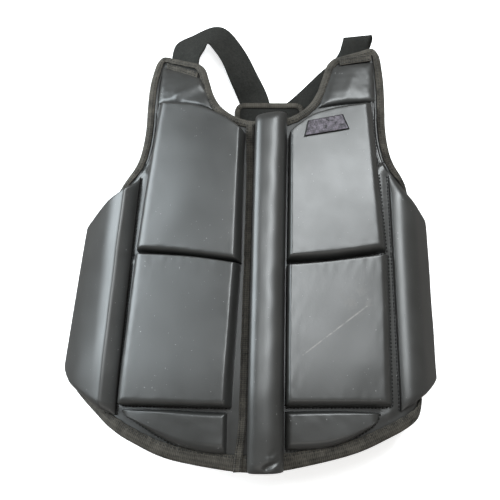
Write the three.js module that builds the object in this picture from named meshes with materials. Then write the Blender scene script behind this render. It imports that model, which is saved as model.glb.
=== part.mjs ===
// A padded martial arts chest guard, lying on its back with its front up.
// Millimetres. +Z is up, +Y points to the neck, +X to the right of someone looking down on it.
// The origin is on the floor, under the middle of the guard.
// Sewn pieces are drawn on a flat pattern: u runs across from the centre line, v runs up the front,
// and n is the height over the face of the front panel. wrap() lays the pattern over the body form.
import * as THREE from 'three';

// Driving dimensions
const PANEL_WALL = 3.5;
const SEAT = 0.5;
const WEBBING = 2;
const FLOOR_LAY = WEBBING / 2;

// How the guard lies: lean to the left, dip of the neck end (degrees), height of the front's middle
const LIE = { roll: -2.3, pitch: -1.1, lift: 86.5 };

// Body form across: a broad front, a tighter bend at the hinge groove, then the wing
const FRONT_TURN = 14;
const BEND_LENGTH = 25;
const WING_LENGTH = 70;
const GROOVE = { neck: 138.5, hem: 151, atNeck: 95, atHem: -160 };
const WING_WIDTH = { neck: 82, hem: 90, atNeck: 48, atHem: -130 };
const POSE = {
  left: { sign: -1, bendNeck: 38, bendHem: 26, wing: 16, droop: 18, edgeHeight: 2.2 },
  right: { sign: 1, bendNeck: 63, bendHem: 63, wing: 22, droop: 7, edgeHeight: 0.9 },
};

// Body form along: straight in the middle, curled at the hem and the chest, tabs drooping
const CHEST = { from: 30, radius: 900 };
const BELLY = { from: -115, radius: 400, skew: 0.035, skewLength: 100 };
const TAB = { from: 185, length: 40 };

// Outline of the panel's right half, as stations [u, v] from the hem's middle round to the neck
const HEM_LINE = [
  [0, -230], [32, -227.5], [97, -213], [139, -194], [161, -181], [192, -160], [236, -134],
];
const REAR_ROWS = [-110, -85, -60, -35, -10, 15, 40];
const HEM_STEPS = 4;
const ARMHOLE = [
  [221, 44], [214, 51], [195, 64], [180, 75], [171, 81.5], [163.5, 87], [157, 92], [151, 97.5], [146, 103],
  [141.5, 111], [138.5, 120], [135.5, 136], [134, 155],
  [134, 172], [133.8, 190], [133.3, 207], [132, 224], [130, 241], [127.5, 249.5], [121.5, 255.5],
];
const CENTRE_ROWS = [58, 70, 82, 93, 102, 109, 115, 121, 127, 133, 139, 145.5];
const NECK = [[0, 152], [18, 154], [34, 160], [50, 172.5], [60, 189], [66.5, 210], [72, 229], [78.5, 237.5]];

// Grid of the panel: cells over the front, the bend and the wing, and the limits of the last two
const GRID = { front: 5, bend: 4, wing: 3, grooveShare: 0.85, bendShare: 0.16, tabTop: [8, 4] };

// Edge binding: a tape folded over the panel's edge, flat as far as flat and bulging to web beyond it
const BINDING = { wall: 1.2, slack: 0.75, backSlack: 0.8, edgeSlack: 0.4, flat: 1, web: 1.9 };
const REACH = { hem: 13, hemCorner: 8.5, rear: 8.5, armhole: 7, neck: 7 };
const BINDING_GAP = 0.3;

// Pads: inner to outer lines of the lower and upper edge, full height, edge height and edge rounding
const PADS = [
  { name: 'upper_pad', height: 22, edge: 9, round: 13, columns: 4, rows: 5,
    low: [[28, -8.5], [132, 6]], top: [[27.5, 143], [57, 165], [87, 177], [116, 179]] },
  { name: 'lower_pad', height: 22, edge: 9, round: 13, columns: 4, rows: 5,
    low: [[29, -167], [144, -162]], top: [[29, -15.5], [134.5, 0.5]] },
  { name: 'belly_pad', height: 13, edge: 4, round: 11, columns: 4, rows: 2,
    low: [[32, -209], [84, -199], [110, -186], [134, -174]], top: [[30.5, -172], [136, -169]] },
  { name: 'shoulder_pad', height: 9, edge: 2, round: 12, columns: 3, rows: 2,
    low: [[68, 184], [92, 187], [122, 188]], top: [[83, 217], [119, 231]] },
];
const SIDE_PAD = { height: 20, edge: 2, bevel: 20, topSlope: 26, round: 12, rearEdge: 7, lowEnd: 0.35,
  columns: 6, rows: 6,
  low: [[155, -157], [195, -146], [219, -131], [227, -118]],
  top: [[141.8, 90], [164, 74.5], [193, 54], [210, 36]] };
const ROLL = { height: 30, edge: 8, columns: 8, rows: 13, overBinding: 2.5, overReach: 18, ramp: 6,
  endRound: 12, endStep: 5, endHeight: 0.72,
  low: [[-12, -227.5], [25, -228.5]], top: [[-8, 150], [26, 157]] };
const TAPE = { thickness: 1.5, rows: 13,
  low: [[-24, -230], [-14.5, -230]], top: [[-19, 150], [-10.5, 151]] };
const TACK = { thickness: 1.8, low: [[88, 223.5], [119, 236.5]], top: [[85, 231], [117, 244.5]] };
const BADGE = { thickness: 1.2, rim: 1.8, rimWidth: 2,
  low: [[45.5, 127], [90.5, 138]], top: [[49, 144.5], [84, 154]] };

// Shoulder straps: the sewn end on the pattern, then the free run as pairs of edge points [x, y, z]
const TAB_BACK = -7.2;
const SHOULDER_STRAPS = {
  left: {
    sewn: [{ inner: [-83, 219], outer: [-117, 232] }, { inner: [-81.5, 242], outer: [-115.5, 256] }],
    free: [
      { inner: [-74.5, 249, 29], outer: [-94, 272, 12] },
      { inner: [-68, 265, 27], outer: [-64, 293, 6] },
      { inner: [-61, 258, 26], outer: [-45, 286, 9] },
      { inner: [-51, 244, 22], outer: [-25, 262, 6] },
      { inner: [-41, 222, 13], outer: [-10, 234, 2.5] },
      { inner: [-32, 203, 1.6], outer: [1, 212, 1.3] },
      { inner: [-26, 186, FLOOR_LAY], outer: [7, 190, FLOOR_LAY] },
      { inner: [-25, 172, FLOOR_LAY], outer: [9, 174, FLOOR_LAY] },
    ],
  },
  right: {
    sewn: [{ inner: [85, 219], outer: [118, 232.5] }, { inner: [84, 243], outer: [117.5, 257] }],
    free: [
      { inner: [89, 262, 41], outer: [121.5, 268, 37] },
      { inner: [91, 269, 33], outer: [124, 274, 29] },
      { inner: [91, 269, 20], outer: [125, 273, 17] },
      { inner: [86, 260, 8], outer: [121, 264, 7] },
      { inner: [77, 249, 2], outer: [110, 245, 2] },
      { inner: [66, 240, FLOOR_LAY], outer: [94, 220, FLOOR_LAY] },
      { inner: [52, 226, FLOOR_LAY], outer: [77, 202, FLOOR_LAY] },
      { inner: [36, 210, FLOOR_LAY], outer: [60, 185, FLOOR_LAY] },
      { inner: [16, 192, FLOOR_LAY], outer: [40, 168, FLOOR_LAY] },
    ],
  },
};

// Side straps: across the floor from the yoke, then folded up the inner face of the wing
const SIDE_STRAPS = {
  left: [
    { inner: [-13, 133.5], outer: [-31, 163.5] },
    { inner: [-81, 92.7], outer: [-99, 122.7] },
    { inner: [-136, 59.7], outer: [-154, 89.7] },
  ],
  right: [
    { inner: [19.5, 135.5], outer: [40.5, 163.5] },
    { inner: [79.5, 90.5], outer: [100.5, 118.5] },
    { inner: [121.5, 59], outer: [142.5, 87] },
  ],
};
const WING_BACK = -8;
const SIDE_STRAP_SEAM = [
  { low: 37, lowFromRear: 8, high: 73, highFromRear: 7 },
  { low: 33, lowFromRear: 14, high: 69, highFromRear: 14 },
  { low: 21, lowFromRear: 32, high: 55, highFromRear: 32 },
];

// Back yoke: a bound patch over the ends of the straps
const YOKE = { x: 5, y: 157, width: 82, length: 84, corner: 11, bottom: 2.5, thickness: 2 };
const YOKE_RIM = { width: 6, thickness: 1.2, gap: 0.3 };

// Finishes
const LEATHER = { color: 0x34353a, roughness: 0.42, metalness: 0 };
const BINDING_TAPE = { color: 0x4b4640, roughness: 0.9, metalness: 0 };
const STRAP_WEB = { color: 0x3c3c37, roughness: 0.85, metalness: 0 };
const PLATE = { color: 0x6d6570, roughness: 0.35, metalness: 0.7 };

const radians = THREE.MathUtils.degToRad;
const guard = new THREE.Group();
const sewnFront = new THREE.Group();
const boundEdges = new THREE.Group();
const harness = new THREE.Group();
guard.add(sewnFront, boundEdges, harness);

function addPiece(group, name, geometry, finish) {
  const mesh = new THREE.Mesh(geometry, new THREE.MeshStandardMaterial(finish));
  mesh.name = name;
  group.add(mesh);
}

// Body form
function between(v, ends) {
  const t = (v - ends.atHem) / (ends.atNeck - ends.atHem);
  return THREE.MathUtils.lerp(ends.hem, ends.neck, t);
}

const grooveAt = (v) => between(v, GROOVE);
const rearAt = (v) => grooveAt(v) + between(v, WING_WIDTH);
const poseOf = (u) => (u < 0 ? POSE.left : POSE.right);

// Walks along chained arcs, each given by its length and how far it turns down, in degrees
function walkArcs(distance, arcs) {
  let along = 0;
  let down = 0;
  let angle = 0;
  let left = distance;
  for (const [length, turn] of arcs) {
    const step = Math.min(left, length);
    const bend = radians(turn) * (Number.isFinite(length) ? step / length : 0);
    const chord = bend === 0 ? step : (2 * step * Math.sin(bend / 2)) / bend;
    along += chord * Math.cos(angle + bend / 2);
    down += chord * Math.sin(angle + bend / 2);
    angle += bend;
    left -= step;
    if (left <= 0) break;
  }
  return { along, down };
}

function acrossForm(u, v) {
  const pose = poseOf(u);
  const wingV = THREE.MathUtils.clamp(v, WING_WIDTH.atHem, WING_WIDTH.atNeck);
  const bend = between(wingV, { ...WING_WIDTH, neck: pose.bendNeck, hem: pose.bendHem });
  const arcs = [[grooveAt(v), FRONT_TURN], [BEND_LENGTH, bend], [WING_LENGTH, pose.wing], [Infinity, 0]];
  const walk = walkArcs(Math.abs(u), arcs);
  return { x: pose.sign * walk.along, drop: walk.down };
}

function alongForm(u, v) {
  if (v < BELLY.from) {
    const reach = BELLY.from - v;
    const turn = THREE.MathUtils.radToDeg(reach / BELLY.radius);
    const walk = walkArcs(reach, [[reach, turn]]);
    const skew = BELLY.skew * u * Math.min(reach / BELLY.skewLength, 1);
    return { y: BELLY.from - walk.along + skew, drop: walk.down };
  }
  if (v <= CHEST.from) return { y: v, drop: 0 };
  const chest = TAB.from - CHEST.from;
  const chestTurn = THREE.MathUtils.radToDeg(chest / CHEST.radius);
  const arcs = [[chest, chestTurn], [TAB.length, poseOf(u).droop], [Infinity, 0]];
  const walk = walkArcs(v - CHEST.from, arcs);
  return { y: CHEST.from + walk.along, drop: walk.down };
}

function lieDown(point) {
  point.applyAxisAngle(new THREE.Vector3(0, 1, 0), radians(LIE.roll));
  point.applyAxisAngle(new THREE.Vector3(1, 0, 0), radians(LIE.pitch));
  point.z += LIE.lift;
  return point;
}

function formPoint(u, v) {
  const across = acrossForm(u, v);
  const along = alongForm(u, v);
  return lieDown(new THREE.Vector3(across.x, along.y, -across.drop - along.drop));
}

// The wing is bent a little further so that its whole rear edge lies on the floor
function facePoint(u, v) {
  const point = formPoint(u, v);
  const groove = grooveAt(v);
  const beyond = Math.abs(u) - groove;
  if (beyond <= 0) return point;
  const wingV = THREE.MathUtils.clamp(v, WING_WIDTH.atHem, WING_WIDTH.atNeck);
  const rearLift = formPoint(Math.sign(u) * rearAt(wingV), wingV).z - poseOf(u).edgeHeight;
  const share = Math.min(beyond / (rearAt(v) - groove), 1);
  point.z -= rearLift * share * share;
  return point;
}

const PROBE = 0.5;

function wrap(u, v, n) {
  const across = facePoint(u + PROBE, v).sub(facePoint(u - PROBE, v));
  const along = facePoint(u, v + PROBE).sub(facePoint(u, v - PROBE));
  return facePoint(u, v).addScaledVector(across.cross(along).normalize(), n);
}

// Soft edges flatten where they meet the floor
function onFloor(point) {
  point.z = Math.max(point.z, 0);
  return point;
}

// Mesh helpers
function closedMesh(points, triangles) {
  const geometry = new THREE.BufferGeometry();
  const coordinates = points.flatMap((point) => point.toArray());
  geometry.setAttribute('position', new THREE.Float32BufferAttribute(coordinates, 3));
  geometry.setIndex(triangles.flat());
  geometry.computeVertexNormals();
  return geometry;
}

// A solid sewn to the panel: quads of pattern points with a lower and an upper height
function sewnSolid(quads) {
  const places = new Map();
  const points = [];
  const triangles = [];
  const borders = new Map();
  const indexOf = ({ u, v, lo, hi }) => {
    const key = `${u.toFixed(2)} ${v.toFixed(2)}`;
    if (!places.has(key)) {
      places.set(key, points.length);
      points.push(wrap(u, v, hi), wrap(u, v, lo));
    }
    return places.get(key);
  };
  for (const quad of quads) {
    const [a, b, c, d] = quad.map(indexOf);
    for (const [p, q, r] of [[a, b, c], [a, c, d]]) {
      if (p === q || q === r || r === p) continue;
      triangles.push([p, q, r], [r + 1, q + 1, p + 1]);
      for (const [from, to] of [[p, q], [q, r], [r, p]]) borders.set(`${from} ${to}`, [from, to]);
    }
  }
  for (const [from, to] of borders.values()) {
    if (borders.has(`${to} ${from}`)) continue;
    triangles.push([to, from, from + 1], [to, from + 1, to + 1]);
  }
  return closedMesh(points, triangles);
}

// Quads between neighbouring rows of points, for either side of the guard
function quadsOf(rows, sign) {
  const turned = rows.map((row) => row.map((point) => ({ ...point, u: sign * point.u })));
  const quads = [];
  for (let r = 0; r + 1 < turned.length; r += 1) {
    for (let c = 0; c + 1 < turned[r].length; c += 1) {
      const quad = [turned[r][c], turned[r][c + 1], turned[r + 1][c + 1], turned[r + 1][c]];
      quads.push(sign > 0 ? quad : quad.reverse());
    }
  }
  return quads;
}

function curveThrough(stations) {
  return new THREE.SplineCurve(stations.map(([u, v]) => new THREE.Vector2(u, v)));
}

// Rows of points ruled between a lower and an upper line; height(s, t, width, length) gives lo and hi
function ruledRows(piece, columnShares, rowShares, height) {
  const low = curveThrough(piece.low);
  const top = curveThrough(piece.top);
  const width = (low.getLength() + top.getLength()) / 2;
  const length = low.getPointAt(0.5).distanceTo(top.getPointAt(0.5));
  return rowShares(length).map((t) => columnShares(width).map((s) => {
    const place = low.getPointAt(s).lerp(top.getPointAt(s), t);
    return { u: place.x, v: place.y, ...height(s, t, width, length) };
  }));
}

const evenShares = (count) => Array.from({ length: count + 1 }, (_, i) => i / count);

// Shares of a span: close together over the rounded edges, even between them
const EDGE_STEPS = [0, 0.12, 0.45];
const ROUND_LIMIT = 0.42;

function edgeShares(round, count) {
  return (span) => {
    const rim = Math.min(round / span, ROUND_LIMIT);
    const near = EDGE_STEPS.map((step) => step * rim);
    const inner = evenShares(count).map((s) => rim + s * (1 - 2 * rim));
    return [...near, ...inner, ...near.map((s) => 1 - s).reverse()];
  };
}

const quarterRound = (distance, round) => {
  const t = Math.min(distance / round, 1);
  return Math.sqrt(1 - (1 - t) * (1 - t));
};

function padHeight(pad) {
  return (s, t, width, length) => {
    const roundAcross = Math.min(pad.round, ROUND_LIMIT * width);
    const roundAlong = Math.min(pad.round, ROUND_LIMIT * length);
    const across = quarterRound(Math.min(s, 1 - s) * width, roundAcross);
    const along = quarterRound(Math.min(t, 1 - t) * length, roundAlong);
    return { lo: SEAT, hi: SEAT + pad.edge + (pad.height - pad.edge) * across * along };
  };
}

// Front panel
function rowColumns([innerU, innerV], [outerU, outerV]) {
  const groove = Math.min(grooveAt((innerV + outerV) / 2), innerU + GRID.grooveShare * (outerU - innerU));
  const rest = outerU - groove;
  const bendEnd = groove + Math.min(BEND_LENGTH, GRID.bend * GRID.bendShare * rest);
  const front = evenShares(GRID.front).map((s) => innerU + s * (groove - innerU));
  const bend = evenShares(GRID.bend).slice(1).map((s) => groove + s * (bendEnd - groove));
  const wing = evenShares(GRID.wing).slice(1).map((s) => bendEnd + s * (outerU - bendEnd));
  return [...front, ...bend, ...wing].map((u) => {
    const share = (u - innerU) / (outerU - innerU);
    return [u, THREE.MathUtils.lerp(innerV, outerV, share)];
  });
}

function hemVAt(u) {
  const curve = curveThrough(HEM_LINE);
  let low = 0;
  let high = 1;
  for (let i = 0; i < 30; i += 1) {
    const middle = (low + high) / 2;
    if (curve.getPoint(middle).x < u) low = middle;
    else high = middle;
  }
  return curve.getPoint(low).y;
}

function panelRows() {
  const cornerU = HEM_LINE.at(-1)[0];
  const hemRow = rowColumns([0, GROOVE.atHem], [cornerU, GROOVE.atHem]).map(([u]) => [u, hemVAt(u)]);
  const straight = REAR_ROWS.map((v) => rowColumns([0, v], [rearAt(v), v]));
  const hemRows = evenShares(HEM_STEPS).slice(0, -1).map((t) => hemRow.map(([u, v], c) => [
    THREE.MathUtils.lerp(u, straight[0][c][0], t),
    THREE.MathUtils.lerp(v, straight[0][c][1], t),
  ]));
  const inner = [...CENTRE_ROWS.map((v) => [0, v]), ...NECK];
  const upper = inner.map((station, i) => rowColumns(station, ARMHOLE[i]));
  return [...hemRows, ...straight, ...upper];
}

const PANEL_ROWS = panelRows();

function buildPanel() {
  const rows = PANEL_ROWS.map((row) => row.map(([u, v]) => ({ u, v, lo: -PANEL_WALL, hi: 0 })));
  const quads = [...quadsOf(rows, 1), ...quadsOf(rows, -1)];
  addPiece(sewnFront, 'base_panel', sewnSolid(quads), LEATHER);
}

// Pads, roll, tape and trim
function buildPads() {
  for (const pad of PADS) {
    const columns = edgeShares(pad.round, pad.columns);
    const rows = ruledRows(pad, columns, edgeShares(pad.round, pad.rows), padHeight(pad));
    for (const [side, { sign }] of Object.entries(POSE)) {
      addPiece(sewnFront, `${pad.name}_${side}`, sewnSolid(quadsOf(rows, sign)), LEATHER);
    }
  }
}

function buildSidePads() {
  const { height, edge, bevel, topSlope, round, rearEdge, lowEnd } = SIDE_PAD;
  const columns = (width) => {
    const rim = round / width;
    const face = evenShares(SIDE_PAD.columns).map((s) => bevel / width + s * (1 - rim - bevel / width));
    const slope = evenShares(3).slice(0, -1).map((s) => (s * bevel) / width);
    const rear = EDGE_STEPS.map((step) => 1 - step * rim).reverse();
    return [...slope, ...face, ...rear];
  };
  const heightAt = (s, t, width, length) => {
    const slope = Math.min((s * width) / bevel, 1);
    const rear = quarterRound((1 - s) * width, round);
    const low = THREE.MathUtils.lerp(lowEnd, 1, quarterRound(t * length, round));
    const top = Math.min(((1 - t) * length) / topSlope, 1);
    const rise = slope * (rearEdge + (height - edge - rearEdge) * rear) * low * top;
    return { lo: SEAT, hi: SEAT + edge + rise };
  };
  const rows = ruledRows(SIDE_PAD, columns, edgeShares(round, SIDE_PAD.rows), heightAt);
  for (const [side, { sign }] of Object.entries(POSE)) {
    addPiece(sewnFront, `side_pad_${side}`, sewnSolid(quadsOf(rows, sign)), LEATHER);
  }
}

// The roll and its tape ride over the bindings at the neck and the hem
function overBindings(t, length) {
  const fromEnd = Math.min(t, 1 - t) * length;
  return fromEnd < ROLL.overReach + ROLL.ramp / 2 ? ROLL.overBinding : SEAT;
}

function lengthShares(rows) {
  return (length) => {
    const ends = [0, ROLL.endStep, ROLL.overReach].map((distance) => distance / length);
    const ramp = (ROLL.overReach + ROLL.ramp) / length;
    const inner = evenShares(rows).map((s) => ramp + s * (1 - 2 * ramp));
    return [...ends, ...inner, ...ends.map((s) => 1 - s).reverse()];
  };
}

function buildRoll() {
  const heightAt = (s, t, width, length) => {
    const arch = Math.sqrt(Math.max(0, 1 - (2 * s - 1) ** 2));
    const round = quarterRound(Math.min(t, 1 - t) * length, ROLL.endRound);
    const end = THREE.MathUtils.lerp(ROLL.endHeight, 1, round);
    return { lo: overBindings(t, length), hi: SEAT + ROLL.edge + (ROLL.height - ROLL.edge) * arch * end };
  };
  const columns = () => evenShares(ROLL.columns).map((s) => (1 - Math.cos(Math.PI * s)) / 2);
  const rows = ruledRows(ROLL, columns, lengthShares(ROLL.rows), heightAt);
  addPiece(sewnFront, 'centre_roll', sewnSolid(quadsOf(rows, 1)), LEATHER);
}

function buildTape() {
  const heightAt = (s, t, width, length) => {
    const lo = overBindings(t, length);
    return { lo, hi: lo + TAPE.thickness };
  };
  const rows = ruledRows(TAPE, () => [0, 1], lengthShares(TAPE.rows), heightAt);
  addPiece(sewnFront, 'centre_tape', sewnSolid(quadsOf(rows, 1)), BINDING_TAPE);
}

function buildTacks() {
  const heightAt = () => ({ lo: SEAT, hi: SEAT + TACK.thickness });
  const rows = ruledRows(TACK, () => evenShares(4), () => [0, 1], heightAt);
  for (const [side, { sign }] of Object.entries(POSE)) {
    addPiece(sewnFront, `strap_tack_${side}`, sewnSolid(quadsOf(rows, sign)), BINDING_TAPE);
  }
}

function buildBadge() {
  const padTop = SEAT + PADS.find((pad) => pad.name === 'upper_pad').height;
  const rimShares = (span) => [0, BADGE.rimWidth / span, 1 - BADGE.rimWidth / span, 1];
  const heightAt = (s, t) => {
    const onRim = s === 0 || s === 1 || t === 0 || t === 1;
    return { lo: padTop + SEAT, hi: padTop + SEAT + (onRim ? BADGE.rim : BADGE.thickness) };
  };
  const rows = ruledRows(BADGE, rimShares, rimShares, heightAt);
  addPiece(sewnFront, 'badge_plate', sewnSolid(quadsOf(rows, 1)), PLATE);
}

// Edge bindings
function halfOutline() {
  const hem = PANEL_ROWS[0];
  const rear = PANEL_ROWS.slice(1, HEM_STEPS + REAR_ROWS.length).map((row) => row.at(-1));
  const tabTop = GRID.tabTop.map((column) => PANEL_ROWS.at(-1)[column]);
  const neck = [...NECK].reverse();
  const stations = [...hem, ...rear, ...ARMHOLE, ...tabTop, ...neck];
  const hemEnd = hem.length - 1;
  const rearEnd = hemEnd + rear.length + 1;
  const tabEnd = stations.length - neck.length;
  return { stations, hemEnd, rearEnd, tabEnd };
}

const HALF = halfOutline();
const LOOP = [...HALF.stations, ...HALF.stations.slice(1, -1).reverse().map(([u, v]) => [-u, v])]
  .map(([u, v]) => new THREE.Vector2(u, v));
const stationAt = (i) => LOOP[(i + LOOP.length) % LOOP.length];

// Outward direction on the pattern, mitred where two stretches of edge meet
function outwardAt(i) {
  const outwardOf = (from, to) => new THREE.Vector2(to.y - from.y, from.x - to.x).normalize();
  const before = outwardOf(stationAt(i - 1), stationAt(i));
  const after = outwardOf(stationAt(i), stationAt(i + 1));
  return before.clone().add(after).divideScalar(1 + before.dot(after));
}

function bindingSection(reach) {
  const { wall, slack, backSlack, edgeSlack, flat, web } = BINDING;
  const face = slack + wall;
  const back = -PANEL_WALL - backSlack - wall;
  const middle = -PANEL_WALL / 2;
  return [
    [-reach, slack], [edgeSlack, slack], [edgeSlack, back + wall], [-reach, back + wall],
    [-reach, back], [flat, back], [web, middle], [flat, face], [-reach, face],
  ];
}

// Lofts closed rings of points into a solid with flat ends; ends lists the triangles of an end
function loftRings(rings, ends) {
  const size = rings[0].length;
  const triangles = [];
  for (let r = 0; r + 1 < rings.length; r += 1) {
    for (let c = 0; c < size; c += 1) {
      const a = r * size + c;
      const b = r * size + ((c + 1) % size);
      triangles.push([a, b, b + size], [a, b + size, a + size]);
    }
  }
  const last = (rings.length - 1) * size;
  for (const [a, b, c] of ends) triangles.push([a, c, b], [a + last, b + last, c + last]);
  const points = rings.flat();
  const volume = triangles.reduce((sum, [a, b, c]) => {
    return sum + points[a].dot(points[b].clone().cross(points[c]));
  }, 0);
  return closedMesh(points, volume > 0 ? triangles : triangles.map(([a, b, c]) => [a, c, b]));
}

function bindingRun(name, from, to, reachAt) {
  const rings = [];
  for (let i = from; i <= to; i += 1) {
    const station = stationAt(i).clone();
    if (i === from) station.lerp(stationAt(i + 1), BINDING_GAP / station.distanceTo(stationAt(i + 1)));
    if (i === to) station.lerp(stationAt(i - 1), BINDING_GAP / station.distanceTo(stationAt(i - 1)));
    const outward = outwardAt(i);
    rings.push(bindingSection(reachAt(station)).map(([a, n]) => {
      return onFloor(wrap(station.x + a * outward.x, station.y + a * outward.y, n));
    }));
  }
  const outline = bindingSection(REACH.neck).map(([a, n]) => new THREE.Vector2(a, n));
  const ends = THREE.ShapeUtils.triangulateShape(outline, []);
  addPiece(boundEdges, name, loftRings(rings, ends), BINDING_TAPE);
}

function buildBindings() {
  const { hemEnd, rearEnd, tabEnd } = HALF;
  const around = LOOP.length;
  const hemReach = ({ x }) => {
    const share = Math.abs(x) / HEM_LINE.at(-1)[0];
    return THREE.MathUtils.lerp(REACH.hem, REACH.hemCorner, share);
  };
  bindingRun('hem_binding', -hemEnd, hemEnd, hemReach);
  bindingRun('rear_binding_right', hemEnd, rearEnd, () => REACH.rear);
  bindingRun('armhole_binding_right', rearEnd, tabEnd, () => REACH.armhole);
  bindingRun('neck_binding', tabEnd, around - tabEnd, () => REACH.neck);
  bindingRun('armhole_binding_left', around - tabEnd, around - rearEnd, () => REACH.armhole);
  bindingRun('rear_binding_left', around - rearEnd, around - hemEnd, () => REACH.rear);
}

// Straps and yoke
function ribbon(sections) {
  const middles = sections.map(({ inner, outer }) => inner.clone().add(outer).divideScalar(2));
  const rings = sections.map(({ inner, outer }, i) => {
    const before = middles[Math.max(i - 1, 0)];
    const after = middles[Math.min(i + 1, middles.length - 1)];
    const normal = outer.clone().sub(inner).cross(after.clone().sub(before)).setLength(WEBBING / 2);
    const upper = [inner, outer].map((point) => point.clone().add(normal));
    const lower = [outer, inner].map((point) => point.clone().sub(normal));
    return [...upper, ...lower].map(onFloor);
  });
  return loftRings(rings, [[0, 1, 2], [0, 2, 3]]);
}

function buildShoulderStraps() {
  for (const [side, strap] of Object.entries(SHOULDER_STRAPS)) {
    const sewn = strap.sewn.map(({ inner, outer }) => ({
      inner: wrap(inner[0], inner[1], TAB_BACK),
      outer: wrap(outer[0], outer[1], TAB_BACK),
    }));
    const free = strap.free.map(({ inner, outer }) => ({
      inner: new THREE.Vector3(...inner),
      outer: new THREE.Vector3(...outer),
    }));
    addPiece(harness, `shoulder_strap_${side}`, ribbon([...sewn, ...free]), STRAP_WEB);
  }
}

function buildSideStraps() {
  for (const [side, laid] of Object.entries(SIDE_STRAPS)) {
    const { sign } = POSE[side];
    const laidFlat = laid.map(({ inner, outer }) => ({
      inner: new THREE.Vector3(...inner, FLOOR_LAY),
      outer: new THREE.Vector3(...outer, FLOOR_LAY),
    }));
    const onWing = SIDE_STRAP_SEAM.map(({ low, lowFromRear, high, highFromRear }) => ({
      inner: wrap(sign * (rearAt(low) - lowFromRear), low, WING_BACK),
      outer: wrap(sign * (rearAt(WING_WIDTH.atNeck) - highFromRear), high, WING_BACK),
    }));
    addPiece(harness, `side_strap_${side}`, ribbon([...laidFlat, ...onWing]), STRAP_WEB);
  }
}

function roundedRectangle(width, length, corner) {
  const shape = new THREE.Shape();
  const x = width / 2 - corner;
  const y = length / 2 - corner;
  shape.absarc(x, y, corner, 0, Math.PI / 2);
  shape.absarc(-x, y, corner, Math.PI / 2, Math.PI);
  shape.absarc(-x, -y, corner, Math.PI, 1.5 * Math.PI);
  shape.absarc(x, -y, corner, 1.5 * Math.PI, 2 * Math.PI);
  shape.closePath();
  return shape;
}

function buildYoke() {
  const yoke = new THREE.Group();
  yoke.position.set(YOKE.x, YOKE.y, YOKE.bottom);
  harness.add(yoke);
  const patch = roundedRectangle(YOKE.width, YOKE.length, YOKE.corner);
  const plain = { bevelEnabled: false, curveSegments: 4 };
  const patchGeometry = new THREE.ExtrudeGeometry(patch, { ...plain, depth: YOKE.thickness });
  addPiece(yoke, 'back_yoke', patchGeometry, STRAP_WEB);
  const rim = roundedRectangle(YOKE.width, YOKE.length, YOKE.corner);
  const cut = 2 * YOKE_RIM.width;
  rim.holes.push(roundedRectangle(YOKE.width - cut, YOKE.length - cut, YOKE.corner - YOKE_RIM.width));
  const rimGeometry = new THREE.ExtrudeGeometry(rim, { ...plain, depth: YOKE_RIM.thickness });
  rimGeometry.translate(0, 0, YOKE.thickness + YOKE_RIM.gap);
  addPiece(yoke, 'yoke_binding', rimGeometry, BINDING_TAPE);
}

buildPanel();
buildPads();
buildSidePads();
buildRoll();
buildTape();
buildTacks();
buildBadge();
buildBindings();
buildShoulderStraps();
buildSideStraps();
buildYoke();

// The origin goes under the middle of the guard
const middle = new THREE.Box3().setFromObject(guard).getCenter(new THREE.Vector3());
guard.position.set(-middle.x, -middle.y, 0);

export default guard;
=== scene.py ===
"""Dresses the lying chest guard: leather pads, taped edges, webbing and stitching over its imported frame."""
import math

import bmesh
import bpy
import numpy as np
from bpy.props import FloatProperty, FloatVectorProperty, PointerProperty
from mathutils import Matrix, Vector


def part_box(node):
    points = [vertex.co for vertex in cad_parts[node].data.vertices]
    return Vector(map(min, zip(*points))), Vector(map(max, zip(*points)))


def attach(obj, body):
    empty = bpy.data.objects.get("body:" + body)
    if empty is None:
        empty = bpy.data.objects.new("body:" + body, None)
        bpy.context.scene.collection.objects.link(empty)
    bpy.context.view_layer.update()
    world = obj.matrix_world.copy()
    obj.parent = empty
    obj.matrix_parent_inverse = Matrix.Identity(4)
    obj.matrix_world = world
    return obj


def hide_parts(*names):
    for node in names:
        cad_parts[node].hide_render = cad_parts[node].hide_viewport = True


bl_info = {
    "name": "Chest Guard",
    "version": (1, 0, 0),
    "blender": (4, 5, 0),
    "location": "3D View > Sidebar > Chest Guard",
    "description": "Dresses a padded martial arts chest guard over its packed frame",
    "category": "Object",
}

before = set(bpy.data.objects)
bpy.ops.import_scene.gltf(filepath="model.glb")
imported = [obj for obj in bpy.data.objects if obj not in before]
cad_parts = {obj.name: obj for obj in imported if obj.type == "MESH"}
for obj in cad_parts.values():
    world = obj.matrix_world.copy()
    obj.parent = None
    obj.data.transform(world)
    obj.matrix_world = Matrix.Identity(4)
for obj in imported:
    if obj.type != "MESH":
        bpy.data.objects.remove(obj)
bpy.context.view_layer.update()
BODY = "root"

# Pattern sizes are in millimetres: u runs across from the centre line, v up the front, n over the face
MM = 0.001
SEAT = 0.5
PANEL_WALL = 3.5

# Body form and the way the guard lies, in millimetres and degrees
LIE = {"roll": -2.3, "pitch": -1.1, "lift": 86.5}
FRONT_TURN = 14
BEND_LENGTH = 25
WING_LENGTH = 70
FAR = 1e6
PROBE = 0.5
GROOVE = {"hem": 151, "neck": 138.5, "at_hem": -160, "at_neck": 95}
WING = {"hem": 90, "neck": 82, "at_hem": -130, "at_neck": 48}
POSE = {
    "left": {"sign": -1, "bend_neck": 38, "bend_hem": 26, "wing": 16, "droop": 18, "edge": 2.2},
    "right": {"sign": 1, "bend_neck": 63, "bend_hem": 63, "wing": 22, "droop": 7, "edge": 0.9},
}
CHEST = {"from": 30, "radius": 900}
BELLY = {"from": -115, "radius": 400, "skew": 0.035, "skew_length": 100}
TAB = {"from": 185, "length": 40}

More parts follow.
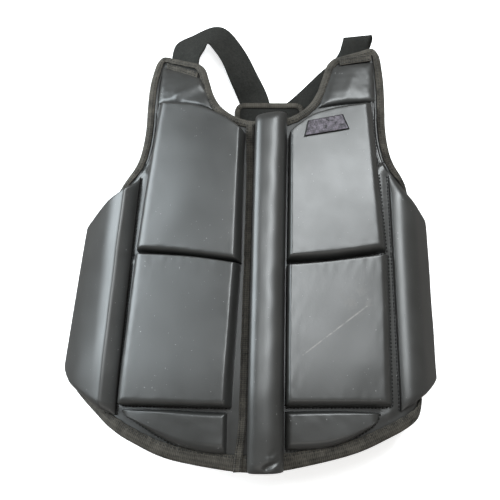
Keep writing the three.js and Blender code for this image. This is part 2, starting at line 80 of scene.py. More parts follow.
# Outline of the right half, as stations [u, v]
HEM_LINE = [
    [0, -230], [32, -227.5], [97, -213], [139, -194], [161, -181], [192, -160], [236, -134],
]
REAR_ROWS = [-110, -85, -60, -35, -10, 15, 40]
ARMHOLE = [
    [221, 44], [214, 51], [195, 64], [180, 75], [171, 81.5], [163.5, 87], [157, 92], [151, 97.5],
    [146, 103], [141.5, 111], [138.5, 120], [135.5, 136], [134, 155], [134, 172], [133.8, 190],
    [133.3, 207], [132, 224], [130, 241], [127.5, 249.5], [121.5, 255.5],
]
TAB_TOP = [[107, 249.5], [92, 243.3]]
CENTRE_ROWS = [58, 70, 82, 93, 102, 109, 115, 121, 127, 133, 139, 145.5]
NECK = [[0, 152], [18, 154], [34, 160], [50, 172.5], [60, 189], [66.5, 210], [72, 229], [78.5, 237.5]]

# Foam pads: their height, the outer side's extra height and the crown, each left and right, how full
# they are and their grid cells
PADS = {
    "upper_pad": {"height": 20, "tilt": (1.5, -5), "crown": (0, -2), "fill": 0.8, "cells": (72, 84)},
    "lower_pad": {"height": 20, "tilt": (0.5, -5.5), "crown": (-1.2, -2), "fill": 0.8, "cells": (72, 84)},
    "belly_pad": {"height": 11, "tilt": (2, 1), "crown": (1.2, 0), "fill": 0.7, "cells": (64, 44)},
    "shoulder_pad": {"height": 4.2, "tilt": (0, 0), "crown": (1.6, 1.6), "fill": 0.5, "cells": (44, 44)},
}
# Sewn outline of each pad, as its lower and upper line from the middle outwards
PAD_LINES = {
    "upper_pad_left": {
        "low": [[21, -10.5], [80, -1.5], [136.5, 5]], "top": [[20, 138], [44, 157], [74, 171], [116, 177.5]],
    },
    "upper_pad_right": {
        "low": [[27, -11], [71, -6.5], [134.5, 5]], "top": [[28, 134], [50, 155], [77, 167], [119.5, 176.5]],
    },
    "lower_pad_left": {
        "low": [[29.5, -163.5], [80, -161.5], [152, -158]], "top": [[21.5, -12], [74, -3], [137, 2.8]],
    },
    "lower_pad_right": {
        "low": [[26.5, -163.5], [139, -163]], "top": [[26.5, -14], [71.5, -8.5], [136, 2.5]],
    },
    "belly_pad_left": {
        "low": [
            [35, -211.5], [47, -210.5], [63, -208], [84.5, -202], [106, -191.5], [129, -177.5], [146, -167],
        ],
        "top": [[34, -168.5], [61, -167], [103, -164], [149, -162.5]],
    },
    "belly_pad_right": {
        "low": [[26.5, -208.5], [52, -208.5], [73, -206], [94, -199], [115.5, -186], [124, -177]],
        "top": [[26.5, -168], [82, -167.5], [126, -169.5]],
    },
    "shoulder_pad_left": {"low": [[57, 169], [89, 178], [123, 181]], "top": [[74, 213], [121, 236]]},
    "shoulder_pad_right": {"low": [[60, 171], [90, 177], [124, 182]], "top": [[77, 226], [123, 236]]},
}
# Rounding of each pad's edges, as its reach from the seam and how full the round is
EDGES = {
    "upper_pad_left": {"inner": (8, 1.7), "outer": (13, 2.5), "low": (9, 3.4), "top": (6, 2.4)},
    "upper_pad_right": {"inner": (7, 2.6), "outer": (11.5, 1.8), "low": (9, 2.1), "top": (6, 2.4)},
    "lower_pad_left": {"inner": (8, 1.7), "outer": (13, 2.5), "low": (9, 2.8), "top": (3, 2.2)},
    "lower_pad_right": {"inner": (7, 2.6), "outer": (11.5, 1.8), "low": (9, 2.1), "top": (3, 2.2)},
    "belly_pad_left": {"inner": (5, 2.4), "outer": (12, 2), "low": (9, 1.6), "top": (4, 2.4)},
    "belly_pad_right": {"inner": (8, 2.4), "outer": (12, 2), "low": (9, 1.6), "top": (4, 2.4)},
    "shoulder_pad_left": {"inner": (9, 2), "outer": (9, 2), "low": (6, 2.2), "top": (10, 2)},
    "shoulder_pad_right": {"inner": (9, 2), "outer": (9, 2), "low": (6, 2.2), "top": (10, 2)},
}
# Folds in the leather, as a pattern line with the fold's width and height
FOLDS = {
    "shoulder_pad_left": [
        {"line": [[-99, 189], [-85, 195], [-71, 203]], "width": 5, "rise": 1.5},
        {"line": [[-95, 181], [-80, 186], [-66, 191]], "width": 6, "rise": -1.2},
    ],
    "shoulder_pad_right": [
        {"line": [[91, 186], [98, 208]], "width": 5, "rise": 0.5},
        {"line": [[76, 188], [94, 193], [116, 190]], "width": 8, "rise": 0.5},
    ],
    "centre_roll": [
        {"line": [[8, -221], [17.5, -216], [27, -208]], "width": 3, "rise": -3.5},
        {"line": [[10, -214], [18, -211], [26, -202]], "width": 2.5, "rise": 1.6},
        {"line": [[13, -209], [22, -204.5], [27, -199]], "width": 2.2, "rise": -1.6},
    ],
    "panel_left": [
        {"line": [[-136, -1], [-148, -7]], "width": 1.5, "rise": 1.2},
        {"line": [[-136, -6], [-147, -1]], "width": 1.3, "rise": 0.9},
        {"line": [[-137, 5], [-146, 2]], "width": 1.4, "rise": -1.4},
        {"line": [[-158, -165], [-152, -175]], "width": 1.6, "rise": 1.4},
        {"line": [[-151, -165], [-144, -178]], "width": 1.6, "rise": 1.4},
        {"line": [[-144, -169], [-137, -181]], "width": 1.6, "rise": 1.2},
        {"line": [[-137, -173], [-130, -184]], "width": 1.6, "rise": 1.0},
    ],
    "panel_right": [
        {"line": [[134, 10], [145, 5]], "width": 1.5, "rise": 1.2},
        {"line": [[134, 4], [145, 0]], "width": 1.5, "rise": -1.4},
        {"line": [[122, -178], [131, -188]], "width": 1.8, "rise": 1.4},
        {"line": [[130, -172], [140, -183]], "width": 1.8, "rise": 1.6},
        {"line": [[137, -168], [149, -178]], "width": 1.8, "rise": 1.2},
    ],
}

# Side pads: their lower and upper line, the share of the height at distances from the inner seam, the
# height kept at the rear and how far the top slopes
SIDE_PAD = {
    "height": 20, "edge": 2, "rear": 13, "low_round": 9, "low_edge": 0.3, "fill": 0.8, "cells": (64, 110),
}
SIDE_PAD_LINES = {
    "left": {
        "low": [[157, -168], [190, -150], [218, -134], [230, -121]],
        "top": [[138.5, 92.5], [151, 79], [181, 64.5], [219, 49]],
        "rise": [[0, 0.06], [10.5, 0.96], [13, 1]], "rear_edge": 17, "top_slope": 9,
    },
    "right": {
        "low": [[148.5, -168], [168, -153], [196, -136], [214, -117], [224, -99]],
        "top": [[138, 93], [164, 74.5], [193, 54], [210, 36]],
        "rise": [[0, 0.05], [2, 0.12], [11, 0.34], [55, 1]], "rear_edge": 7, "top_slope": 18,
    },
}
# Roll: its lines, height, how full its arch is and how far it leans, its climb over the bindings, and
# its ends
ROLL = {
    "low": [[-12, -227.5], [25, -228.5]], "top": [[-8, 150], [26, 157]],
    "height": 30, "edge": 6, "full": 2.8, "skew": 0.72, "lift": 2.5, "reach": 18, "ramp": 6,
    "end_round": 12, "end": 0.66,
    "fill": 0.8, "cells": (40, 150),
}
# Middle line of the tape beside the roll
TAPE = {
    "middle": [
        [-15, 150], [-14.2, 120], [-13.2, 83], [-14, 27], [-14.8, -28], [-15.8, -82], [-16.5, -135],
        [-18, -182], [-22, -215], [-23.5, -230],
    ],
    "width": 8.5, "thickness": 1.5, "cells": (6, 150),
}
TACK = {"thickness": 1.8, "cells": (24, 6)}
TACK_BASE = 2.2
TACK_LINES = {
    "left": {"low": [[78, 213], [116, 233]], "top": [[77.5, 221], [116, 241.5]]},
    "right": {"low": [[84.5, 227.5], [120.5, 237]], "top": [[83.5, 236.5], [120, 246]]},
}
# Badge plate: its corners, the heights of its face and rim, the rim's width and round, and the height and
# spread of a near-black sheet under it, a painted shadow round the plate's edge
BADGE = {
    "low": [[45.5, 127], [90.5, 138]], "top": [[49, 144.5], [84, 154]],
    "face": 1.4, "rim": 2.6, "rim_width": 1.6, "round": 0.3, "shadow_sheet_height": 1.0, "spread": 1.07, "cuts": 3,
}

# Folded edge tape: its wall, the heights of its face leaf, bulge and back leaf, how far its nose passes the
# edge, the width of its fold and its lowest point
BINDING = {
    "wall": 1.2, "face": 0.9, "dome": 1.5, "back": -4.9, "nose": 1.7, "nose_in": 0.1, "fold": 8,
    "lowest": 0.6,
}
REACH = {"hem": 17, "hem_corner": 8.5, "rear": 8.5, "armhole": 7, "neck": 7}
STATION_STEP = 1.3
RUN_GAP = 0.3

# Swelling of the panel beside its seams: height, run and fade, the bare strip at the centre line, the flat
# border at the bindings, and the ramps of its crinkles from the seams and from the middle
RELIEF = {
    "swell": 1.9, "run": 8, "fade_from": 12, "fade": 6, "bare": 33, "bare_ramp": 5,
    "border": 1, "border_ramp": 4, "seam_ramp": 3, "middle_ramp": 0.125,
}
# Small random waves in the surfaces: height, distance between bumps and seed
WAVES = {
    "panel": {"height": 0.12, "pitch": 9, "seed": 11},
    "pad_face": {"height": 0.15, "pitch": 60, "seed": 0},
    "pad_rim": {"height": 0.2, "pitch": 12, "seed": 1},
    "side_pad": {"height": 0.25, "pitch": 70, "seed": 31},
    "roll": {"height": 0.2, "pitch": 45, "seed": 71},
    "tape": {"height": 0.18, "pitch": 6, "seed": 41},
    "binding_rim": {"height": 0.35, "pitch": 13, "seed": 61},
    "binding_leaf": {"height": 0.3, "pitch": 11, "seed": 62},
    "binding_pucker": {"height": 0.3, "pitch": 3.4, "seed": 63},
}
# Rows of stitches: distance between stitches, radius and length against the stitch of the looks
STITCHES = {
    "binding": {"pitch": 4.2, "radius": 0.6, "length": 1},
    "tape": {"pitch": 3.8, "radius": 0.6, "length": 1},
    "seam": {"pitch": 3.9, "radius": 0.8, "length": 1.15},
    "side_seam": {"pitch": 3.9, "radius": 0.8, "length": 1.3},
}

# Straps, as pairs of edge points: sewn ends on the pattern [u, v], free runs in space [x, y, z]
TAB_BACK = -7.2
WING_BACK = -8
SHOULDER_STRAPS = {
    "left": {
        "sewn": [([-83, 219], [-117, 232]), ([-81.5, 242], [-115.5, 256])],
        "free": [
            ([-77, 246, 30], [-106, 267, 16]),
            ([-72, 256, 29], [-87, 280, 12]),
            ([-68, 265, 27], [-63, 293, 7]),
            ([-61, 258, 26], [-45, 287, 9]),
            ([-51, 244, 22], [-25, 262, 6]),
            ([-41, 222, 13], [-10, 234, 2.5]),
            ([-32, 203, 1.6], [1, 212, 1.3]),
            ([-26, 186, 1], [7, 190, 1]),
            ([-25, 172, 1], [9, 174, 1]),
        ],
    },
    "right": {
        "sewn": [([85, 219], [118, 232.5]), ([84, 243], [117.5, 257])],
        "free": [
            ([89, 262, 41], [121.5, 268, 37]),
            ([91, 269, 33], [124, 274, 29]),
            ([91, 269, 20], [125, 273, 17]),
            ([86, 260, 8], [121, 264, 7]),
            ([77, 249, 2], [110, 245, 2]),
            ([66, 240, 1], [94, 220, 1]),
            ([52, 226, 1], [77, 202, 1]),
            ([36, 210, 1], [60, 185, 1]),
            ([16, 192, 1], [40, 168, 1]),
        ],
    },
}
SIDE_STRAPS = {
    "left": [
        ([-13, 133.5, 1], [-31, 163.5, 1]),
        ([-81, 92.7, 1], [-99, 122.7, 1]),
        ([-136, 59.7, 1], [-154, 89.7, 1]),
        ([-174, 37, 1.5], [-192, 67, 2.5]),
    ],
    "right": [
        ([19.5, 135.5, 1], [40.5, 163.5, 1]),
        ([79.5, 90.5, 1], [100.5, 118.5, 1]),
        ([121.5, 59, 1], [142.5, 87, 1]),
    ],
}
SIDE_SEAM = [
    {"low": 37, "low_in": 8, "high": 73, "high_in": 7},
    {"low": 33, "low_in": 14, "high": 69, "high_in": 14},
    {"low": 21, "low_in": 32, "high": 55, "high_in": 32},
]
YOKE = {"x": 5, "y": 157, "width": 82, "length": 84, "corner": 11, "bottom": 2.5, "thickness": 2}
YOKE_RIM = {"width": 6, "height": 1.5}

# Where the frame lies against the pattern
YOKE_LOW, YOKE_HIGH = (np.array(corner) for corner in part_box("back_yoke"))
YOKE_MIDDLE = np.array([YOKE["x"], YOKE["y"], YOKE["bottom"] + YOKE["thickness"] / 2])
SHIFT = (YOKE_LOW + YOKE_HIGH) / 2 - MM * YOKE_MIDDLE


def colour_choice(name, description, default):
    return FloatVectorProperty(
        name=name, description=description, subtype="COLOR", size=3, min=0, max=1, default=default,
    )


class GuardLooks(bpy.types.PropertyGroup):
    """Colours and sizes of the guard's finish."""

    leather: colour_choice("Leather", "Colour of the leather", (0.022, 0.022, 0.021))
    tape: colour_choice("Tape", "Colour of the edging tape", (0.040, 0.036, 0.030))
    web: colour_choice("Webbing", "Colour of the straps", (0.012, 0.012, 0.0105))
    thread: colour_choice("Thread", "Colour of the sewing thread", (0.007, 0.007, 0.0065))
    plate: colour_choice("Plate", "Colour of the badge plate", (0.045, 0.039, 0.047))
    floor: colour_choice("Floor", "Colour of the floor", (0.8, 0.8, 0.8))
    webbing: FloatProperty(
        name="Webbing thickness", description="Thickness of the straps", subtype="DISTANCE", unit="LENGTH",
        default=0.0018, min=0.0005, max=0.004,
    )
    stitch: FloatProperty(
        name="Stitch", description="Length of one stitch", subtype="DISTANCE", unit="LENGTH",
        default=0.0026, min=0.001, max=0.006,
    )


# Body form
def between(v, hem, neck, at_hem, at_neck):
    return hem + (neck - hem) * (v - at_hem) / (at_neck - at_hem)


def groove_at(v):
    return between(v, **GROOVE)


def rear_at(v):
    return groove_at(v) + between(v, **WING)


def per_side(u, key):
    return np.where(u < 0, POSE["left"][key], POSE["right"][key])


def walk_arcs(distance, arcs):
    """Walks chained arcs, each a length and a turn in degrees: how far along and how far down it gets."""
    along = np.zeros_like(distance)
    down = np.zeros_like(distance)
    angle = np.zeros_like(distance)
    left = distance.copy()
    for length, turn in arcs:
        step = np.minimum(left, length)
        bend = np.radians(turn) * step / length
        chord = step * np.sinc(bend / 2 / np.pi)
        along += chord * np.cos(angle + bend / 2)
        down += chord * np.sin(angle + bend / 2)
        angle += bend
        left -= step
    return along, down


def form_point(u, v):
    wing_v = np.clip(v, WING["at_hem"], WING["at_neck"])
    turns = per_side(u, "bend_hem"), per_side(u, "bend_neck")
    bend = between(wing_v, *turns, WING["at_hem"], WING["at_neck"])
    across = [(groove_at(v), FRONT_TURN), (BEND_LENGTH, bend), (WING_LENGTH, per_side(u, "wing")), (FAR, 0)]
    out, drop = walk_arcs(np.abs(u), across)
    x = per_side(u, "sign") * out
    belly = np.maximum(BELLY["from"] - v, 0)
    curl = belly / BELLY["radius"]
    skew = BELLY["skew"] * u * np.minimum(belly / BELLY["skew_length"], 1)
    chest = TAB["from"] - CHEST["from"]
    along = [(chest, np.degrees(chest / CHEST["radius"])), (TAB["length"], per_side(u, "droop")), (FAR, 0)]
    up, chest_drop = walk_arcs(np.maximum(v - CHEST["from"], 0), along)
    y = np.clip(v, BELLY["from"], CHEST["from"]) + up - BELLY["radius"] * np.sin(curl) + skew
    z = -drop - chest_drop - BELLY["radius"] * (1 - np.cos(curl))
    roll, pitch = math.radians(LIE["roll"]), math.radians(LIE["pitch"])
    x, z = x * math.cos(roll) + z * math.sin(roll), z * math.cos(roll) - x * math.sin(roll)
    y, z = y * math.cos(pitch) - z * math.sin(pitch), y * math.sin(pitch) + z * math.cos(pitch)
    return np.stack([x, y, z + LIE["lift"]], axis=-1)


def face_point(u, v):
    """A point of the panel's face, with the wing bent further so that its rear edge lies on the floor."""
    point = form_point(u, v)
    groove = groove_at(v)
    wing_v = np.clip(v, WING["at_hem"], WING["at_neck"])
    rear = form_point(np.where(u < 0, -1, 1) * rear_at(wing_v), wing_v)
    share = np.clip((np.abs(u) - groove) / (rear_at(v) - groove), 0, 1)
    point[..., 2] -= (rear[..., 2] - per_side(u, "edge")) * share * share
    return point


def wrap(points):
    """Lays pattern points (u, v, n) over the body form, in the frame's metres."""
    u, v, n = np.asarray(points, float).T
    across = face_point(u + PROBE, v) - face_point(u - PROBE, v)
    along = face_point(u, v + PROBE) - face_point(u, v - PROBE)
    normal = np.cross(across, along)
    normal /= np.linalg.norm(normal, axis=-1, keepdims=True)
    return MM * (face_point(u, v) + normal * n[:, None]) + SHIFT


def in_frame(points):
    return MM * np.asarray(points, float) + SHIFT


# Lines and fields
def catmull(stations, per_cell=24):
    """Dense points of a smooth line through the stations."""
    p = np.asarray(stations, float)
    p = np.vstack([p[:1], p, p[-1:]])
    t = np.linspace(0, 1, per_cell, endpoint=False)[:, None]
    cells = []
    for a, b, c, d in zip(p, p[1:], p[2:], p[3:]):
        pull_b, pull_c = (c - a) / 2, (d - b) / 2
        cubic = 2 * b - 2 * c + pull_b + pull_c
        square = -3 * b + 3 * c - 2 * pull_b - pull_c
        cells.append(cubic * t ** 3 + square * t ** 2 + pull_b * t + b)
    return np.vstack([*cells, p[-1:]])


def runs_of(line):
    """Distance from a line's start to each of its points."""
    steps = np.linalg.norm(np.diff(line, axis=0), axis=1)
    return np.concatenate([[0], np.cumsum(steps)])


def points_at(line, runs, distances):
    """Points of a line at distances, given the distance of each of its own points."""
    return np.stack([np.interp(distances, runs, axis) for axis in line.T], axis=-1)


def along_line(line, shares):
    """Points at shares of a line's length."""
    runs = runs_of(line)
    return points_at(line, runs, np.asarray(shares) * runs[-1])


def length_of(line):
    return runs_of(line)[-1]


def ripple(places, pitch, seed, waves=7):
    """A smooth random field, about -1 to 1, over places (..., 2) with bumps about pitch apart."""
    draw = np.random.default_rng(seed)
    field = np.zeros(places.shape[:-1])
    for _ in range(waves):
        angle = draw.uniform(0, 2 * np.pi)
        size = draw.uniform(0.6, 1.5) * 2 * np.pi / pitch
        phase = draw.uniform(0, 2 * np.pi)
        field += np.sin(size * (places[..., 0] * np.cos(angle) + places[..., 1] * np.sin(angle)) + phase)
    return field / math.sqrt(waves)


def wave_at(kind, places, seed=0):
    """Height of a surface's small random waves at places."""
    wave = WAVES[kind]
    return wave["height"] * ripple(places, wave["pitch"], wave["seed"] + seed)


def smooth_step(x):
    t = np.clip(x, 0, 1)
    return t * t * (3 - 2 * t)


def quarter_round(x):
    t = np.clip(x, 0, 1)
    return np.sqrt(1 - (1 - t) ** 2)


def ruled(piece, s, t, sign=1):
    """Pattern places between a piece's lower and upper line."""
    low, top = catmull(piece["low"]), catmull(piece["top"])
    place = along_line(low, s) * (1 - t)[:, None] + along_line(top, s) * t[:, None]
    return place * [sign, 1]


def spans(piece):
    low, top = catmull(piece["low"]), catmull(piece["top"])
    across = (length_of(low) + length_of(top)) / 2
    along = np.linalg.norm(along_line(low, [0.5]) - along_line(top, [0.5]))
    return across, along


# Meshes
def blank():
    """An empty bmesh with a UV map."""
    bm = bmesh.new()
    bm.loops.layers.uv.new("UVMap")
    return bm


def grid(columns, rows):
    """A bmesh grid with a UV map, and each vertex's share across and along."""
    bm = blank()
    bmesh.ops.create_grid(bm, x_segments=columns, y_segments=rows, size=1, calc_uvs=True)
    places = np.array([vert.co for vert in bm.verts])
    return bm, (places[:, 0] + 1) / 2, (places[:, 1] + 1) / 2


def put(bm, points):
    for vert, point in zip(bm.verts, points):
        vert.co = point


def size_uv(bm, across, along):
    """Scales the unit UV map to real metres."""
    layer = bm.loops.layers.uv.active
    for face in bm.faces:
        for loop in face.loops:
            x, y = loop[layer].uv
            loop[layer].uv = (x * across, y * along)


def close_below(bm, base):
    """Closes a pad: a copy of its top sinks to the base points and joins the top's border."""
    count = len(bm.verts)
    made = bmesh.ops.duplicate(bm, geom=bm.verts[:] + bm.edges[:] + bm.faces[:])
    floor_faces = [item for item in made["geom"] if isinstance(item, bmesh.types.BMFace)]
    bm.verts.ensure_lookup_table()
    for vert, point in zip(bm.verts[count:], base):
        vert.co = point
    bmesh.ops.reverse_faces(bm, faces=floor_faces)
    bmesh.ops.remove_doubles(bm, verts=bm.verts[:], dist=1e-7)


def turn_out(bm, sign):
    """Turns the faces of a left piece outwards, since its pattern is mirrored."""
    if sign < 0:
        bmesh.ops.reverse_faces(bm, faces=bm.faces[:])


def absorb(bm, part):
    """Moves a part into another bmesh."""
    mesh = bpy.data.meshes.new("part")
    part.to_mesh(mesh)
    part.free()
    bm.from_mesh(mesh)
    bpy.data.meshes.remove(mesh)


def add_piece(name, bm, finish, nodes=()):
    """Makes a piece in a finish."""
    mesh = bpy.data.meshes.new(name)
    bm.to_mesh(mesh)
    bm.free()
    mesh.shade_smooth()
    piece = bpy.data.objects.new(name, mesh)
    bpy.context.scene.collection.objects.link(piece)
    mesh.materials.append(finish_of(finish))
    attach(piece, BODY)
    if nodes:
        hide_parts(*nodes)
    return piece


def add_pad(node, bm, top, base, sign):
    """Makes a closed leather pad from the pattern points of its top and its base."""
    put(bm, wrap(top))
    close_below(bm, wrap(base))
    turn_out(bm, sign)
    piece = add_piece(f"{node}_cover", bm, "leather", [node])


def thicken(piece, thickness, offset, even=True):
    wall = piece.modifiers.new("Wall", "SOLIDIFY")
    wall.thickness = thickness
    wall.offset = offset
    wall.use_even_offset = even


# Finishes
class Value:
    """A node socket that can be used in Python expressions."""

    def __init__(self, finish, socket):
        self.finish = finish
        self.socket = socket

    def math(self, operation, *values):
        return self.finish.node("ShaderNodeMath", {"operation": operation}, dict(enumerate(values)))

    def __add__(self, other):
        return self.math("ADD", self, other)

    def __sub__(self, other):
        return self.math("SUBTRACT", self, other)

    def __rsub__(self, other):
        return self.math("SUBTRACT", other, self)

    def __mul__(self, other):
        return self.math("MULTIPLY", self, other)

    def __truediv__(self, other):
        return self.math("DIVIDE", self, other)

    def __rtruediv__(self, other):
        return self.math("DIVIDE", other, self)

    def __gt__(self, other):
        return self.math("GREATER_THAN", self, other)

    def __lt__(self, other):
        return self.math("LESS_THAN", self, other)

    def sine(self):
        return self.math("SINE", self)

    def root(self):
        return self.math("SQRT", self)

    __radd__ = __add__
    __rmul__ = __mul__


class Finish:
    """A material being made: node() adds one node and returns its output."""

    def __init__(self, name):
        self.material = bpy.data.materials.new(name)
        self.material.use_nodes = True
        self.tree = self.material.node_tree
        self.shader = self.tree.nodes["Principled BSDF"]

    def link(self, value, socket):
        if isinstance(value, Value):
            self.tree.links.new(value.socket, socket)
        else:
            socket.default_value = value

    def node(self, kind, settings=None, inputs=None, output=0):
        made = self.tree.nodes.new(kind)
        for key, value in (settings or {}).items():
            setattr(made, key, value)
        for key, value in (inputs or {}).items():
            self.link(value, made.inputs[key])
        return Value(self, made.outputs[output])

    def place(self, source="Object"):
        return self.node("ShaderNodeTexCoord", output=source)

    def axes(self, source="Object"):
        """The parts of the object's coordinates or of its UV map."""
        first = self.node("ShaderNodeSeparateXYZ", inputs={0: self.place(source)})
        return [Value(self, socket) for socket in first.socket.node.outputs]

    def stroke(self, x, y, start, end, width):
        """A mask that is 1 on a straight line over the ground plan and fades out at its width."""
        run = (end[0] - start[0], end[1] - start[1])
        off_x, off_y = x - start[0], y - start[1]
        share = self.ramp(off_x * run[0] + off_y * run[1], 0.0, run[0] ** 2 + run[1] ** 2)
        away_x, away_y = off_x - share * run[0], off_y - share * run[1]
        return self.ramp((away_x * away_x + away_y * away_y).root(), width, 0.0)

    def blot(self, x, y, middle, reach):
        """A mask that is 1 in the middle of an oval over the ground plan and fades out at its rim."""
        off_x, off_y = (x - middle[0]) / reach[0], (y - middle[1]) / reach[1]
        return self.ramp((off_x * off_x + off_y * off_y).root(), 1.0, 0.35)

    def noise(self, scale, detail=3.0, rough=0.55):
        inputs = {"Vector": self.place(), "Scale": scale, "Detail": detail, "Roughness": rough}
        return self.node("ShaderNodeTexNoise", inputs=inputs)

    def ramp(self, value, low, high):
        inputs = {"Value": value, "From Min": low, "From Max": high}
        return self.node("ShaderNodeMapRange", inputs=inputs)

    def mix(self, share, first, second):
        inputs = {0: share, 6: first, 7: second}
        return self.node("ShaderNodeMix", {"data_type": "RGBA"}, inputs, output=2)

    def bump(self, height, distance, strength):
        inputs = {"Height": height, "Distance": distance, "Strength": strength}
        return self.node("ShaderNodeBump", inputs=inputs)

    def dress(self, **sockets):
        for name, value in sockets.items():
            self.link(value, self.shader.inputs[name.replace("_", " ")])
        return self.material


def tone(colour, scale=1.0):
    return (*(scale * part for part in colour), 1.0)


# Marks on a lower pad, in the frame's metres: a scratch from end to end with its width, and a rubbed patch
SCRATCH = ((0.0567, -0.1411), (0.1236, -0.0879), 0.0011)
RUB = {"middle": (0.112, -0.082), "reach": (0.024, 0.02)}
MARK_ABOVE = 0.096
SCUFFED = (0.42, 0.39, 0.37, 1.0)
DUSTY = (0.45, 0.45, 0.44, 1.0)

# Threads of the tape and the webbing, in metres between their crests
TURN = 2 * math.pi
TAPE_RIB = 0.0021
TAPE_THREAD = 0.0026
WEB_PICK = 0.0016
WEB_END = 0.0012


def leather_finish(looks):
    finish = Finish("leather_look")
    grain = finish.node("ShaderNodeTexVoronoi", {"feature": "SMOOTH_F1"},
                        {"Vector": finish.place(), "Scale": 720.0, "Smoothness": 0.6})
    pores = finish.noise(1500.0, detail=2.0)
    soft = finish.noise(30.0, detail=4.0)
    patch = finish.noise(9.0, detail=2.0)
    shade = finish.ramp(soft * 0.6 + patch * 0.4, 0.3, 0.7)
    colour = finish.mix(shade, tone(looks.leather, 0.82), tone(looks.leather, 1.16))
    dust = finish.ramp(finish.noise(420.0, detail=1.0), 0.765, 0.79)
    colour = finish.mix(dust * 0.35, colour, DUSTY)
    x, y, z = finish.axes()
    high = z > MARK_ABOVE
    broken = finish.ramp(finish.noise(260.0, detail=4.0), 0.34, 0.62)
    scratch = finish.stroke(x, y, *SCRATCH) * broken * high
    patchy = finish.ramp(finish.noise(85.0, detail=5.0, rough=0.65), 0.5, 0.62)
    rubbed = finish.blot(x, y, **RUB) * patchy * high
    colour = finish.mix(scratch * 0.45 + rubbed * 0.12, colour, SCUFFED)
    rough = 0.335 + 0.1 * shade + 0.2 * dust + 0.12 * rubbed + 0.2 * scratch
    normal = finish.bump(grain * 0.7 + pores * 0.3, 0.00012, 0.25)
    return finish.dress(Base_Color=colour, Roughness=rough, Normal=normal, Specular_IOR_Level=0.75)


def tape_finish(looks):
    finish = Finish("binding_tape_look")
    across, along, _ = finish.axes("UV")
    ribs = (along * (TURN / TAPE_RIB) + 2.0 * finish.noise(240.0, detail=1.0)).sine()
    weave = (across * (TURN / TAPE_THREAD)).sine()
    fibre = finish.noise(900.0, detail=3.0)
    worn = finish.noise(75.0, detail=4.0)
    height = ribs * 0.2 + weave * 0.12 + fibre * 1.1
    shade = finish.ramp(height + worn * 1.7, 0.8, 1.95)
    colour = finish.mix(shade, tone(looks.tape, 0.2), tone(looks.tape, 1.8))
    normal = finish.bump(height, 0.0005, 0.7)
    return finish.dress(Base_Color=colour, Roughness=0.85, Normal=normal, Specular_IOR_Level=0.25)


def web_finish(looks):
    finish = Finish("webbing_look")
    along, across, _ = finish.axes("UV")
    picks = (along * (TURN / WEB_PICK)).sine()
    ends = (across * (TURN / WEB_END)).sine()
    fibre = finish.noise(1100.0, detail=2.0)
    height = picks * ends * 0.6 + fibre * 0.4
    nap = finish.noise(430.0, detail=4.0, rough=0.7)
    shade = finish.ramp(0.25 * height + finish.noise(45.0) * 0.4 + nap, 0.4, 1.15)
    colour = finish.mix(shade, tone(looks.web, 0.3), tone(looks.web, 2.4))
    normal = finish.bump(height + 2.0 * nap, 0.0006, 0.7)
    return finish.dress(Base_Color=colour, Roughness=0.78, Normal=normal, Specular_IOR_Level=0.25)


def thread_finish(looks):
    finish = Finish("thread_look")
    twist = finish.noise(2200.0, detail=2.0)
    colour = finish.mix(twist, tone(looks.thread, 0.7), tone(looks.thread, 1.6))
    return finish.dress(Base_Color=colour, Roughness=0.6, Specular_IOR_Level=0.4)


def plate_finish(looks):
    finish = Finish("plate_look")
    flake = finish.noise(620.0, detail=4.0, rough=0.7)
    cloud = finish.noise(230.0, detail=3.0)
    shade = finish.ramp(flake * 0.6 + cloud * 0.6, 0.45, 0.8)
    colour = finish.mix(shade, tone(looks.plate, 0.1), tone(looks.plate, 3.4))
    normal = finish.bump(flake * 0.5 + cloud, 0.0016, 0.8)
    return finish.dress(Base_Color=colour, Roughness=0.5, Normal=normal, Metallic=0.3)


FINISHES = {
    "leather": leather_finish,
    "binding_tape": tape_finish,
    "webbing": web_finish,
    "thread": thread_finish,
    "plate": plate_finish,
}


def finish_of(name):
    made = bpy.data.materials.get(f"{name}_look")
    return made or FINISHES[name](bpy.context.scene.guard_looks)


# Panel: stations across front, bend and wing, and the most of a narrow row that groove and bend may take
PANEL_STATIONS = {"front": 6, "bend": 5, "wing": 4, "groove": 0.85, "bend_most": 0.64}
PANEL_CELLS = (80, 190)
HEM_SHARES = (0, 0.25, 0.5, 0.75)


def panel_columns(inner, outer):
    """Pattern stations of one row, from its inner to its outer end."""
    width = outer[0] - inner[0]
    groove = min(groove_at((inner[1] + outer[1]) / 2), inner[0] + PANEL_STATIONS["groove"] * width)
    bend_end = groove + min(BEND_LENGTH, PANEL_STATIONS["bend_most"] * (outer[0] - groove))
    u = np.concatenate([
        np.linspace(inner[0], groove, PANEL_STATIONS["front"]),
        np.linspace(groove, bend_end, PANEL_STATIONS["bend"])[1:],
        np.linspace(bend_end, outer[0], PANEL_STATIONS["wing"])[1:],
    ])
    return np.stack([u, inner[1] + (u - inner[0]) / width * (outer[1] - inner[1])], axis=-1)


def panel_rows():
    """Rows of pattern stations over the right half, from the hem to the shoulder tab."""
    hem_curve = catmull(HEM_LINE)
    hem = panel_columns((0, GROOVE["at_hem"]), (HEM_LINE[-1][0], GROOVE["at_hem"]))
    hem[:, 1] = np.interp(hem[:, 0], hem_curve[:, 0], hem_curve[:, 1])
    straight = [panel_columns((0, v), (rear_at(v), v)) for v in REAR_ROWS]
    rows = [hem + (straight[0] - hem) * share for share in HEM_SHARES]
    inner = [(0, v) for v in CENTRE_ROWS] + NECK
    return np.array(rows + straight + [panel_columns(a, b) for a, b in zip(inner, ARMHOLE)])


